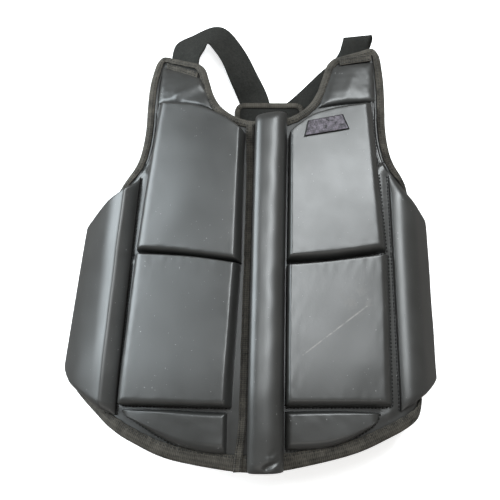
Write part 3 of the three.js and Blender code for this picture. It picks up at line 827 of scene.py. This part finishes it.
def edge_lines(per_cell):
    """Pattern lines along the bound edges of the right half."""
    return {
        "hem": catmull(HEM_LINE, per_cell),
        "rear": np.array([HEM_LINE[-1], *[[rear_at(v), v] for v in REAR_ROWS], ARMHOLE[0]]),
        "armhole": catmull([*ARMHOLE, *TAB_TOP, NECK[-1]], per_cell),
        "neck": catmull(NECK, per_cell),
    }


def spread(coarse, row, column):
    """Points of a coarse net of stations at broken row and column numbers."""
    r = np.minimum(row.astype(int), coarse.shape[0] - 2)
    c = np.minimum(column.astype(int), coarse.shape[1] - 2)
    ahead, aside = (row - r)[:, None], (column - c)[:, None]
    near = coarse[r, c] * (1 - aside) + coarse[r, c + 1] * aside
    far = coarse[r + 1, c] * (1 - aside) + coarse[r + 1, c + 1] * aside
    return near * (1 - ahead) + far * ahead


def distance_to(places, line):
    """How far each place is from a line of pattern points."""
    best = np.full(len(places), FAR)
    for a, b in zip(line, line[1:]):
        edge = b - a
        share = np.clip(((places - a) @ edge) / max(edge @ edge, 1e-9), 0, 1)
        best = np.minimum(best, np.linalg.norm(places - a - share[:, None] * edge, axis=1))
    return best


def outline_of(piece, count=24):
    """A closed pattern line round a ruled piece."""
    shares = np.linspace(0, 1, count)
    low, top = along_line(catmull(piece["low"]), shares), along_line(catmull(piece["top"]), shares)
    return np.vstack([low, top[::-1], low[:1]])


def panel_relief(side, sign, places, s):
    """Height of the panel's swelling, puckers and crinkles, at places of the right half."""
    lines = [SIDE_PAD_LINES[side]]
    if sign < 0:
        lines += [line for name, line in PAD_LINES.items() if name.endswith(side)]
    own = places * [sign, 1]
    apart = np.min([distance_to(places, outline_of(line)) for line in lines], axis=0)
    bound = [distance_to(places, line) - REACH[name] for name, line in edge_lines(8).items()]
    clear = smooth_step((np.min(bound, axis=0) - RELIEF["border"]) / RELIEF["border_ramp"])
    clear *= smooth_step((places[:, 0] - RELIEF["bare"]) / RELIEF["bare_ramp"])
    fade = 1 - smooth_step((apart - RELIEF["fade_from"]) / RELIEF["fade"])
    quilt = RELIEF["swell"] * np.clip(apart / RELIEF["run"], 0, 1) * fade
    crinkle = wave_at("panel", own) * smooth_step(apart / RELIEF["seam_ramp"])
    crinkle *= smooth_step(s / RELIEF["middle_ramp"])
    return (quilt + folds_at(f"panel_{side}", own) + crinkle) * clear


class GUARD_OT_panel(bpy.types.Operator):
    """Makes the leather panel with its wings and shoulder tabs, quilted between the seams"""

    bl_idname = "guard.panel"
    bl_label = "Panel"

    def execute(self, context):
        coarse = panel_rows()
        whole = blank()
        for side, pose in POSE.items():
            bm, s, t = grid(*PANEL_CELLS)
            places = spread(coarse, t * (len(coarse) - 1), s * (coarse.shape[1] - 1))
            heights = panel_relief(side, pose["sign"], places, s)
            put(bm, wrap(np.column_stack([places * [pose["sign"], 1], heights])))
            turn_out(bm, pose["sign"])
            absorb(whole, bm)
        bmesh.ops.remove_doubles(whole, verts=whole.verts[:], dist=1e-6)
        piece = add_piece("panel_leather", whole, "leather", ["base_panel"])
        thicken(piece, PANEL_WALL * MM, -1)
        return {"FINISHED"}


# Pads, with how far their rims' waves reach, and how much of a span a rim takes and how closely it is cut
RIM_FADE = 9
RIM_MOST = 0.4
RIM_CROWDING = 1.6
def edge_rise(distance, reach, full):
    """Height share at a distance from a sewn edge, along the edge's round."""
    left = 1 - np.clip(distance / reach, 0, 1)
    return (1 - left ** full) ** (1 / full)


def folds_at(node, places):
    """Height of a piece's folds at pattern places."""
    rise = np.zeros(len(places))
    for fold in FOLDS.get(node, []):
        line = catmull(fold["line"], 6)
        away = distance_to(places, line) / fold["width"]
        rise += fold["rise"] * np.exp(-away * away)
    return rise


def stepped(share, span, near, far, part=0.22):
    """Even shares, crowded into the rims near both ends of a span."""
    low, high = min(near / span, RIM_MOST), min(far / span, RIM_MOST)
    first = low * np.clip(share / part, 0, 1) ** RIM_CROWDING
    last = 1 - high * np.clip((1 - share) / part, 0, 1) ** RIM_CROWDING
    middle = low + (share - part) * (1 - low - high) / (1 - 2 * part)
    return np.where(share < part, first, np.where(share > 1 - part, last, middle))


def face_height(kind, sign, s):
    """Height of a pad's face at a share across, away from its edges."""
    pad = PADS[kind]
    tilt, crown = (pad[key][0 if sign < 0 else 1] for key in ("tilt", "crown"))
    return SEAT + pad["height"] + tilt * (s - 0.5) + crown * 4 * s * (1 - s)


def pad_points(kind, side, s, t, sign, seed):
    """Pattern points of a pad's top and of its base, for even shares across and along."""
    node = f"{kind}_{side}"
    edges, line = EDGES[node], PAD_LINES[node]
    across, along = spans(line)
    s = stepped(s, across, edges["inner"][0], edges["outer"][0])
    t = stepped(t, along, edges["low"][0], edges["top"][0])
    flank = edge_rise(s * across, *edges["inner"]) * edge_rise((1 - s) * across, *edges["outer"])
    end = edge_rise(t * along, *edges["low"]) * edge_rise((1 - t) * along, *edges["top"])
    rise = np.clip(1 - np.hypot(1 - flank, 1 - end), 0, 1)
    places = ruled(line, s, t, sign)
    rim = np.exp(-np.minimum(np.minimum(s, 1 - s) * across, np.minimum(t, 1 - t) * along) / RIM_FADE)
    waves = wave_at("pad_face", places, seed) + rim * wave_at("pad_rim", places, seed)
    waves += folds_at(node, places)
    height = SEAT + rise * (face_height(kind, sign, s) - SEAT + waves)
    return np.column_stack([places, height]), np.column_stack([places, np.full(len(s), SEAT)])


class GUARD_OT_front_pads(bpy.types.Operator):
    """Makes the foam pads sewn on the chest, the belly and the shoulder tabs"""

    bl_idname = "guard.front_pads"
    bl_label = "Front pads"

    def execute(self, context):
        for index, (name, pad) in enumerate(PADS.items()):
            for side, pose in POSE.items():
                bm, s, t = grid(*pad["cells"])
                seed = 100 * (index + 1) + 10 * pose["sign"]
                top, base = pad_points(name, side, s, t, pose["sign"], seed)
                add_pad(f"{name}_{side}", bm, top, base, pose["sign"])
        return {"FINISHED"}


class GUARD_OT_side_pads(bpy.types.Operator):
    """Makes the bevelled pads of the side wings"""

    bl_idname = "guard.side_pads"
    bl_label = "Side pads"

    def execute(self, context):
        pad = SIDE_PAD
        for side, pose in POSE.items():
            line = SIDE_PAD_LINES[side]
            across, along = spans(line)
            bm, s, t = grid(*pad["cells"])
            s = stepped(s, across, line["rise"][-1][0], pad["rear"])
            t = stepped(t, along, pad["low_round"], line["top_slope"], part=0.14)
            places = ruled(line, s, t, pose["sign"])
            inner = np.interp(s * across, *zip(*line["rise"]))
            rear = quarter_round((1 - s) * across / pad["rear"])
            low = pad["low_edge"] + (1 - pad["low_edge"]) * quarter_round(t * along / pad["low_round"])
            top = np.sin(np.pi / 2 * np.clip((1 - t) * along / line["top_slope"], 0, 1))
            body = line["rear_edge"] + (pad["height"] - pad["edge"] - line["rear_edge"]) * rear
            border = (s > 0) & (s < 1) & (t > 0) & (t < 1)
            waves = wave_at("side_pad", places, pose["sign"]) * inner * rear
            height = SEAT + np.where(border, pad["edge"] + (body + waves) * inner * low * top, 0)
            face = np.column_stack([places, height])
            base = np.column_stack([places, np.full(len(s), SEAT)])
            add_pad(f"side_pad_{side}", bm, face, base, pose["sign"])
        return {"FINISHED"}


def over_bindings(t, along):
    """Height of the base of the roll and its tape, which ride over the bindings at the neck and the hem."""
    from_end = np.minimum(t, 1 - t) * along
    climb = 1 - smooth_step((from_end - ROLL["reach"]) / ROLL["ramp"])
    return SEAT + (ROLL["lift"] - SEAT) * climb


class GUARD_OT_roll(bpy.types.Operator):
    """Makes the padded roll down the middle"""

    bl_idname = "guard.roll"
    bl_label = "Centre roll"

    def execute(self, context):
        bm, s, t = grid(*ROLL["cells"])
        across, along = spans(ROLL)
        t = stepped(t, along, ROLL["end_round"], ROLL["end_round"], part=0.1)
        s = (1 - np.cos(np.pi * s)) / 2
        base = over_bindings(t, along)
        arch = np.maximum(0, 1 - np.abs(2 * s ** ROLL["skew"] - 1) ** ROLL["full"]) ** (1 / ROLL["full"])
        end = quarter_round(np.minimum(t, 1 - t) * along / ROLL["end_round"])
        end = ROLL["end"] + (1 - ROLL["end"]) * end
        border = (arch > 1e-6) & (t > 0) & (t < 1)
        places = ruled(ROLL, s, t)
        waves = (wave_at("roll", places) + folds_at("centre_roll", places)) * arch
        height = ROLL["edge"] + (ROLL["height"] - ROLL["edge"]) * arch * end + waves
        top = np.where(border, np.maximum(SEAT + height, base), base)
        face = np.column_stack([places, top])
        add_pad("centre_roll", bm, face, np.column_stack([places, base]), 1)
        return {"FINISHED"}


# Piping, between two stations of the armhole, with its distances in from the edge and its tips
PIPING = {
    "from": 9, "to": 17, "insets": (9.2, 13.4), "radius": 1.7, "sink": 0.4, "sides": 8,
    "tip": 0.02, "blunt": 0.25,
}


def tube(bm, places, radius, height):
    """A closed round cord along pattern places, at a height over the panel."""
    turns = np.linspace(0, 2 * np.pi, PIPING["sides"], endpoint=False)
    aside = outward_of(places)
    part, s, t = grid(PIPING["sides"], len(places) - 1)
    row = np.rint(t * (len(places) - 1)).astype(int)
    turn = turns[np.rint(s * PIPING["sides"]).astype(int) % PIPING["sides"]]
    end = np.sin(np.pi * np.clip(t, PIPING["tip"], 1 - PIPING["tip"])) ** PIPING["blunt"]
    spots = places[row] + aside[row] * (radius * end * np.cos(turn))[:, None]
    put(part, wrap(np.column_stack([spots, height + radius * end * np.sin(turn)])))
    bmesh.ops.remove_doubles(part, verts=part.verts[:], dist=1e-7)
    bmesh.ops.holes_fill(part, edges=[edge for edge in part.edges if edge.is_boundary])
    bmesh.ops.recalc_face_normals(part, faces=part.faces[:])
    absorb(bm, part)


class GUARD_OT_piping(bpy.types.Operator):
    """Makes the leather piping beside the armhole bindings"""

    bl_idname = "guard.piping"
    bl_label = "Armhole piping"

    def execute(self, context):
        line = catmull(ARMHOLE[PIPING["from"]:PIPING["to"]], 8)
        for side, pose in POSE.items():
            bm = blank()
            for inset in PIPING["insets"]:
                run = (line - inset * outward_of(line)) * [pose["sign"], 1]
                tube(bm, run, PIPING["radius"], PIPING["sink"])
            add_piece(f"armhole_piping_{side}", bm, "leather")
        return {"FINISHED"}


# Tapes, tacks and badge
def add_strip(node, bm, places, heights, size, thickness, sign=1):
    """A flat strip of edging tape on the pattern, standing on the heights."""
    put(bm, wrap(np.column_stack([places, heights + wave_at("tape", places)])))
    size_uv(bm, *(MM * side for side in size))
    turn_out(bm, sign)
    piece = add_piece(f"{node}_strip", bm, "binding_tape", [node])
    thicken(piece, thickness * MM, 1)


def tape_places(s, t):
    middle = along_line(catmull(TAPE["middle"]), 1 - t)
    return middle + np.column_stack([(s - 0.5) * TAPE["width"], np.zeros(len(s))])


class GUARD_OT_tapes(bpy.types.Operator):
    """Makes the tape beside the roll and the strips that hold the shoulder straps"""

    bl_idname = "guard.tapes"
    bl_label = "Tapes"

    def execute(self, context):
        bm, s, t = grid(*TAPE["cells"])
        length = length_of(catmull(TAPE["middle"]))
        size = (TAPE["width"], length)
        add_strip("centre_tape", bm, tape_places(s, t), over_bindings(t, length), size, TAPE["thickness"])
        for side, pose in POSE.items():
            line = TACK_LINES[side]
            bm, s, t = grid(*TACK["cells"])
            places = ruled(line, s, t, pose["sign"])
            base = np.full(len(s), TACK_BASE)
            add_strip(f"strap_tack_{side}", bm, places, base, spans(line), TACK["thickness"], pose["sign"])
        return {"FINISHED"}


class GUARD_OT_badge(bpy.types.Operator):
    """Makes the bare plate on an upper pad, with its raised rim, and a near-black sheet under it as a painted
    shadow round its edge
    """

    bl_idname = "guard.badge"
    bl_label = "Badge plate"

    def execute(self, context):
        corners = np.array([*BADGE["low"], *reversed(BADGE["top"])])
        bm = bmesh.new()
        face = bm.faces.new([bm.verts.new((u, v, BADGE["rim"])) for u, v in corners])
        bmesh.ops.inset_region(bm, faces=[face], thickness=BADGE["rim_width"], use_boundary=True,
                               use_even_offset=True)
        for vert in face.verts:
            vert.co.z = BADGE["face"]
        piece = add_piece("badge_plate_bare", self.seated(bm), "plate", ["badge_plate"])
        round_off = piece.modifiers.new("Edges", "BEVEL")
        round_off.width = BADGE["round"] * MM
        round_off.segments = 2
        round_off.limit_method = "ANGLE"
        # A near-black sheet, a little wider than the plate, lies under it: a painted shadow round the plate's
        # edge
        middle = corners.mean(axis=0)
        wider = middle + (corners - middle) * BADGE["spread"]
        bm = bmesh.new()
        bm.faces.new([bm.verts.new((u, v, BADGE["shadow_sheet_height"])) for u, v in wider])
        add_piece("badge_shadow_sheet", self.seated(bm), "thread")
        return {"FINISHED"}

    def seated(self, bm):
        """Gives a plate's face its sides and back, and lays it on the right upper pad."""
        border = [edge for edge in bm.edges if edge.is_boundary]
        skirt = bmesh.ops.extrude_edge_only(bm, edges=border)["geom"]
        for vert in (item for item in skirt if isinstance(item, bmesh.types.BMVert)):
            vert.co.z = 0
        bmesh.ops.holes_fill(bm, edges=[edge for edge in bm.edges if edge.is_boundary])
        bmesh.ops.subdivide_edges(bm, edges=bm.edges[:], cuts=BADGE["cuts"], use_grid_fill=True)
        bmesh.ops.recalc_face_normals(bm, faces=bm.faces[:])
        points = np.array([vert.co for vert in bm.verts])
        line = PAD_LINES["upper_pad_right"]
        points[:, 2] += face_height("upper_pad", 1, (points[:, 0] - line["low"][0][0]) / spans(line)[0])
        put(bm, wrap(points))
        return bm


# Bindings
def binding_lines():
    """Pattern lines along the bound edges, as name, line, reach of the tape over the face and side."""
    lines = edge_lines(24)
    hem = np.vstack([lines["hem"][:0:-1] * [-1, 1], lines["hem"]])
    hem_share = np.abs(hem[:, 0]) / HEM_LINE[-1][0]
    hem_reach = REACH["hem"] + (REACH["hem_corner"] - REACH["hem"]) * hem_share
    neck = np.vstack([lines["neck"][:0:-1], lines["neck"] * [-1, 1]])
    runs = [("hem_binding", hem, hem_reach, 1), ("neck_binding", neck, REACH["neck"], 1)]
    for side, pose in POSE.items():
        for edge in ("rear", "armhole"):
            runs.append((f"{edge}_binding_{side}", lines[edge], REACH[edge], pose["sign"]))
    return runs


def outward_of(line):
    ahead = np.gradient(line, axis=0)
    ahead /= np.linalg.norm(ahead, axis=1, keepdims=True)
    return np.column_stack([ahead[:, 1], -ahead[:, 0]])


def even_run(line, reach):
    """Stations about STATION_STEP apart along a line, short of its ends, with their reach and its length."""
    runs = runs_of(line)
    length = runs[-1]
    shares = np.linspace(RUN_GAP / length, 1 - RUN_GAP / length, int(length / STATION_STEP) + 1)
    reaches = np.full(len(line), reach) if np.isscalar(reach) else reach
    return along_line(line, shares), np.interp(shares, runs / length, reaches), length


# Shares of the tape's reach at which its leaf has points, and how far its puckers are drawn out across it
BINDING_LEAF = [1, 0.92, 0.8, 0.62, 0.42, 0.22, 0.06]
PUCKER_DRAW = 0.25


def leaf_dome(share):
    """How much the tape's leaf bulges at a share of its reach."""
    return BINDING["dome"] * math.sin(math.pi * min(max(share, 0), 1)) ** 0.6


def binding_section(reach, jitter):
    """Distance beyond the edge and height of the tape's middle, from the face leaf round to the back."""
    face, back, nose = BINDING["face"], BINDING["back"], BINDING["nose"]
    middle, half = (face + back) / 2, (face - back) / 2
    leaf = [(jitter * (share == 1) - reach * share, face + leaf_dome(share)) for share in BINDING_LEAF]
    turns = np.linspace(np.pi / 2, -np.pi / 2, 9)
    bow = [(nose * math.cos(turn) - BINDING["nose_in"], middle + half * math.sin(turn)) for turn in turns]
    under = [(-reach * share, back) for share in reversed(BINDING_LEAF)]
    return leaf + bow + under


class GUARD_OT_bindings(bpy.types.Operator):
    """Makes the tape folded over the panel's edges"""

    bl_idname = "guard.bindings"
    bl_label = "Edge bindings"

    def execute(self, context):
        for name, line, reach, sign in binding_lines():
            stations, reaches, length = even_run(line, reach)
            outward = outward_of(stations)
            places = stations * [sign, 1]
            jitter = wave_at("binding_rim", places)
            swell = wave_at("binding_leaf", places)
            sections = np.array([binding_section(r, j) for r, j in zip(reaches, jitter)])
            bm, s, t = grid(sections.shape[1] - 1, len(stations) - 1)
            row = np.rint(t * (len(stations) - 1)).astype(int)
            column = np.rint(s * (sections.shape[1] - 1)).astype(int)
            beyond, height = sections[row, column].T
            leaf = np.clip(-beyond / reaches[row], 0, 1)
            pucker = wave_at("binding_pucker", np.column_stack([row * STATION_STEP, PUCKER_DRAW * beyond]))
            height = height + np.where(height > 0, (swell[row] + pucker) * leaf, 0)
            spots = (stations[row] + beyond[:, None] * outward[row]) * [sign, 1]
            points = wrap(np.column_stack([spots, height]))
            points[:, 2] = np.maximum(points[:, 2], BINDING["lowest"] * MM)
            put(bm, points)
            size_uv(bm, MM * (2 * np.mean(reaches) + BINDING["fold"]), MM * length)
            bmesh.ops.recalc_face_normals(bm, faces=bm.faces[:])
            piece = add_piece(f"{name}_tape", bm, "binding_tape", [name])
            thicken(piece, BINDING["wall"] * MM, 0, even=False)
        return {"FINISHED"}


# Straps and yoke, with the straps' grid cells
STRAP_CELL = 2.5
STRAP_COLUMNS = 12


def ribbon(node, edges):
    """A strap of webbing through pairs of edge points, in the frame's metres."""
    inner, outer = (catmull([pair[k] for pair in edges]) for k in (0, 1))
    runs = runs_of((inner + outer) / 2)
    length = runs[-1]
    width = np.median(np.linalg.norm(inner - outer, axis=1))
    bm, s, t = grid(STRAP_COLUMNS, int(length / (STRAP_CELL * MM)))
    near, far = (points_at(line, runs, t * length) for line in (inner, outer))
    points = near * (1 - s)[:, None] + far * s[:, None]
    thickness = bpy.context.scene.guard_looks.webbing
    points[:, 2] = np.maximum(points[:, 2], thickness)
    put(bm, points)
    size_uv(bm, width, length)
    bmesh.ops.recalc_face_normals(bm, faces=bm.faces[:])
    piece = add_piece(f"{node}_web", bm, "webbing", [node])
    thicken(piece, thickness, 0, even=False)


class GUARD_OT_straps(bpy.types.Operator):
    """Makes the webbing straps over the shoulders and round the sides"""

    bl_idname = "guard.straps"
    bl_label = "Straps"

    def execute(self, context):
        for side, strap in SHOULDER_STRAPS.items():
            sewn = [tuple(wrap([[*end, TAB_BACK]])[0] for end in pair) for pair in strap["sewn"]]
            free = [tuple(in_frame(end) for end in pair) for pair in strap["free"]]
            ribbon(f"shoulder_strap_{side}", sewn + free)
        for side, laid in SIDE_STRAPS.items():
            sign = POSE[side]["sign"]
            flat = [tuple(in_frame(end) for end in pair) for pair in laid]
            seam = []
            for row in SIDE_SEAM:
                low = [sign * (rear_at(row["low"]) - row["low_in"]), row["low"], WING_BACK]
                high = [sign * (rear_at(WING["at_neck"]) - row["high_in"]), row["high"], WING_BACK]
                seam.append((wrap([low])[0], wrap([high])[0]))
            ribbon(f"side_strap_{side}", flat + seam)
        return {"FINISHED"}


class GUARD_OT_yoke(bpy.types.Operator):
    """Makes the bound patch where the straps meet behind the neck"""

    bl_idname = "guard.yoke"
    bl_label = "Back yoke"

    def execute(self, context):
        low, high = (Vector(corner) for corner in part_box("back_yoke"))
        middle = (low + high) / 2
        patch = blank()
        bmesh.ops.create_grid(patch, x_segments=1, y_segments=1, size=0.5, calc_uvs=True)
        size_uv(patch, MM * YOKE["width"], MM * YOKE["length"])
        size = Matrix.Diagonal((MM * YOKE["width"], MM * YOKE["length"], 1, 1))
        place = Matrix.Translation((middle.x, middle.y, low.z)) @ size
        bmesh.ops.transform(patch, matrix=place, verts=patch.verts)
        bmesh.ops.bevel(patch, geom=patch.verts[:], offset=MM * YOKE["corner"], segments=6, profile=0.5,
                        affect="VERTICES", material=-1)
        rim = patch.copy()
        piece = add_piece("back_yoke_patch", patch, "webbing", ["back_yoke"])
        thicken(piece, MM * YOKE["thickness"], 1)
        bmesh.ops.translate(rim, vec=(0, 0, MM * YOKE["thickness"]), verts=rim.verts)
        made = bmesh.ops.inset_region(rim, faces=rim.faces[:], thickness=MM * YOKE_RIM["width"],
                                      use_boundary=True, use_even_offset=True)
        inside = [face for face in rim.faces if face not in made["faces"]]
        bmesh.ops.delete(rim, geom=inside, context="FACES")
        edge = add_piece("yoke_binding_tape", rim, "binding_tape", ["yoke_binding"])
        thicken(edge, MM * YOKE_RIM["height"], 1)
        return {"FINISHED"}


# Stitching: how far rows lie from a binding's rim, the rows across a tape and a tack with the first share,
# last share and stations along them, the thread's height over each surface, and where the seams climb
STITCH_ROW = {
    "inset": 2.4, "least": 2, "tape": (0.18, 0.82), "tape_run": (0.002, 0.998, 140),
    "tack": (0.2, 0.8), "tack_run": (0.04, 0.96, 20),
}
THREAD_OVER = {"binding": 0.6, "tape": 0.1, "seam": 1.0, "climb": 1.5, "climb_from": 128}
SEAM_OUT = 1.1
SEAM_STATIONS = 90


def sew(bm, line, normals, kind):
    """Sews stitches along a line of points, each a small rounded bar lying on its surface."""
    look = STITCHES[kind]
    stitch = look["length"] * bpy.context.scene.guard_looks.stitch
    radius = look["radius"] * MM
    count = max(int(length_of(line) / (look["pitch"] * MM)), 1)
    shares = (np.arange(count) + 0.5) / count
    step = 0.2 / count
    ahead = along_line(line, np.minimum(shares + step, 1)) - along_line(line, np.maximum(shares - step, 0))
    for spot, way, up in zip(along_line(line, shares), ahead, along_line(normals, shares)):
        x = Vector(way).normalized()
        z = Vector(up).normalized()
        y = z.cross(x).normalized()
        turn = Matrix((x, y, z)).transposed().to_4x4()
        scale = Matrix.Diagonal((stitch / 2, radius, radius, 1))
        place = Matrix.Translation(Vector(spot)) @ turn @ scale
        bmesh.ops.create_uvsphere(bm, u_segments=6, v_segments=4, radius=1, matrix=place)


def pattern_line(places, height):
    """Points and normals of a line on the pattern at a height over the panel."""
    heights = np.broadcast_to(height, len(places))
    points = wrap(np.column_stack([places, heights]))
    over = wrap(np.column_stack([places, heights + 1]))
    return points, over - points


class GUARD_OT_stitching(bpy.types.Operator):
    """Sews the rows of stitches on the bindings, the tapes and round the pads"""

    bl_idname = "guard.stitching"
    bl_label = "Stitching"

    def execute(self, context):
        rows = [
            ("stitching_bindings", self.on_bindings, "binding_tape"),
            ("stitching_tapes", self.on_tapes, "binding_tape"),
            ("stitching_seams", self.on_seams, "leather"),
        ]
        for name, sew_rows, slot in rows:
            bm = bmesh.new()
            sew_rows(bm)
            add_piece(name, bm, "thread")
        return {"FINISHED"}

    def on_bindings(self, bm):
        for name, line, reach, sign in binding_lines():
            stations, reaches, _ = even_run(line, reach)
            inset = np.maximum(reaches - STITCH_ROW["inset"], STITCH_ROW["least"])
            row = (stations - inset[:, None] * outward_of(stations)) * [sign, 1]
            dome = leaf_dome(float(np.mean(inset / reaches)))
            sew(bm, *pattern_line(row, BINDING["face"] + dome + THREAD_OVER["binding"]), "binding")

    def on_tapes(self, bm):
        length = length_of(catmull(TAPE["middle"]))
        t = np.linspace(*STITCH_ROW["tape_run"])
        for share in STITCH_ROW["tape"]:
            row = tape_places(np.full(len(t), share), t)
            height = over_bindings(t, length) + TAPE["thickness"] + THREAD_OVER["tape"]
            sew(bm, *pattern_line(row, height), "tape")
        s = np.linspace(*STITCH_ROW["tack_run"])
        for side, pose in POSE.items():
            for share in STITCH_ROW["tack"]:
                row = ruled(TACK_LINES[side], s, np.full(len(s), share), pose["sign"])
                sew(bm, *pattern_line(row, TACK_BASE + TACK["thickness"] + THREAD_OVER["tape"]), "tape")

    def on_seams(self, bm):
        for node, line in PAD_LINES.items():
            if node.startswith("shoulder"):
                continue
            sign = POSE[node.rsplit("_", 1)[1]]["sign"]
            corner = (np.asarray(line["low"][-1]) + line["top"][-1]) / 2
            rim = np.vstack([catmull(line["low"], 8), [corner], [line["top"][-1]]])
            row = (rim + SEAM_OUT * outward_of(rim)) * [sign, 1]
            row = along_line(row, np.linspace(0, 1, SEAM_STATIONS))
            climb = THREAD_OVER["climb"] * (row[:, 0] > THREAD_OVER["climb_from"])
            sew(bm, *pattern_line(row, THREAD_OVER["seam"] + climb), "seam")
        for side, line in SIDE_PAD_LINES.items():
            rim = catmull([line["low"][0], line["top"][0]])
            row = (rim - [SEAM_OUT, 0]) * [POSE[side]["sign"], 1]
            sew(bm, *pattern_line(row, THREAD_OVER["seam"]), "side_seam")


# Stage
CAMERA = {
    "target": (0, 0, 110), "distance": 1250, "side": -1.7, "lean": -12, "roll": 0.75, "focal_px": 1183.7,
}
FRAME_PX = 500
CENTRE_PX = 261
SENSOR = 36


def aim_camera():
    side, lean, roll = (math.radians(CAMERA[key]) for key in ("side", "lean", "roll"))
    back = Vector((-math.sin(side) * math.cos(lean), math.sin(lean), math.cos(side) * math.cos(lean)))
    right = Vector((0, 1, 0)).cross(back).normalized()
    up = back.cross(right)
    right, up = right * math.cos(roll) + up * math.sin(roll), up * math.cos(roll) - right * math.sin(roll)
    place = Vector(in_frame(CAMERA["target"])) + back * CAMERA["distance"] * MM
    lens = bpy.data.cameras.new("camera")
    lens.sensor_width = SENSOR
    lens.lens = CAMERA["focal_px"] * SENSOR / FRAME_PX
    lens.shift_x = (FRAME_PX / 2 - CENTRE_PX) / FRAME_PX
    camera = bpy.data.objects.new("camera", lens)
    turn = Matrix((right, up, back)).transposed().to_4x4()
    camera.matrix_world = Matrix.Translation(place) @ turn
    bpy.context.scene.collection.objects.link(camera)
    bpy.context.scene.camera = camera


LIGHTS = [
    {"name": "window", "at": (-1.55, 0.55, 0.85), "size": (1.2, 1.9), "power": 68, "tone": (0.86, 0.95, 1)},
    {"name": "sky", "at": (0.6, 0.75, 1.8), "size": (0.5, 2.2), "power": 58, "tone": (0.93, 0.98, 1)},
    {"name": "fill", "at": (0.3, -1.8, 1.5), "size": (1.6, 1.0), "power": 6, "tone": (1, 0.97, 0.93)},
]
WORLD_TONE = (0.24, 0.23, 0.215, 1.0)
# Floor's half width in metres, and its own light, which keeps it white
FLOOR_HALF = 20
FLOOR_GLOW = 0.85


class GUARD_OT_stage(bpy.types.Operator):
    """Makes the pale floor, the soft lights and the camera"""

    bl_idname = "guard.stage"
    bl_label = "Stage"

    def execute(self, context):
        scene = context.scene
        bm = bmesh.new()
        bmesh.ops.create_grid(bm, x_segments=1, y_segments=1, size=FLOOR_HALF)
        mesh = bpy.data.meshes.new("floor")
        bm.to_mesh(mesh)
        bm.free()
        floor = bpy.data.objects.new("floor", mesh)
        scene.collection.objects.link(floor)
        paper = Finish("paper")
        white = tone(scene.guard_looks.floor)
        glow = {"Emission_Color": white, "Emission_Strength": FLOOR_GLOW}
        mesh.materials.append(paper.dress(Base_Color=white, Roughness=0.9, **glow))
        floor.visible_glossy = False
        for row in LIGHTS:
            light = bpy.data.lights.new(row["name"], "AREA")
            light.shape = "RECTANGLE"
            light.size, light.size_y = row["size"]
            light.energy = row["power"]
            light.color = row["tone"]
            lamp = bpy.data.objects.new(row["name"], light)
            lamp.location = row["at"]
            lamp.rotation_euler = (-Vector(row["at"])).to_track_quat("-Z", "Y").to_euler()
            scene.collection.objects.link(lamp)
        world = bpy.data.worlds.new("studio")
        world.use_nodes = True
        world.node_tree.nodes["Background"].inputs["Color"].default_value = WORLD_TONE
        scene.world = world
        scene.view_settings.view_transform = "Standard"
        aim_camera()
        return {"FINISHED"}


class GUARD_PT_sidebar(bpy.types.Panel):
    """Lists the guard's looks and the steps that make it"""

    bl_idname = "GUARD_PT_sidebar"
    bl_label = "Chest Guard"
    bl_space_type = "VIEW_3D"
    bl_region_type = "UI"
    bl_category = "Chest Guard"

    def draw(self, context):
        looks = context.scene.guard_looks
        for name in GuardLooks.__annotations__:
            self.layout.prop(looks, name)
        for step in STEPS:
            self.layout.operator(step.bl_idname)


STEPS = [
    GUARD_OT_stage, GUARD_OT_panel, GUARD_OT_front_pads, GUARD_OT_side_pads, GUARD_OT_roll, GUARD_OT_piping,
    GUARD_OT_tapes, GUARD_OT_badge, GUARD_OT_bindings, GUARD_OT_straps, GUARD_OT_yoke, GUARD_OT_stitching,
]
CLASSES = [GuardLooks, *STEPS, GUARD_PT_sidebar]


def register():
    for kind in CLASSES:
        bpy.utils.register_class(kind)
    bpy.types.Scene.guard_looks = PointerProperty(type=GuardLooks)


def unregister():
    del bpy.types.Scene.guard_looks
    for kind in reversed(CLASSES):
        bpy.utils.unregister_class(kind)


def main():
    register()
    for step in STEPS:
        group, name = step.bl_idname.split(".")
        getattr(getattr(bpy.ops, group), name)()


if __name__ == "__main__":
    main()
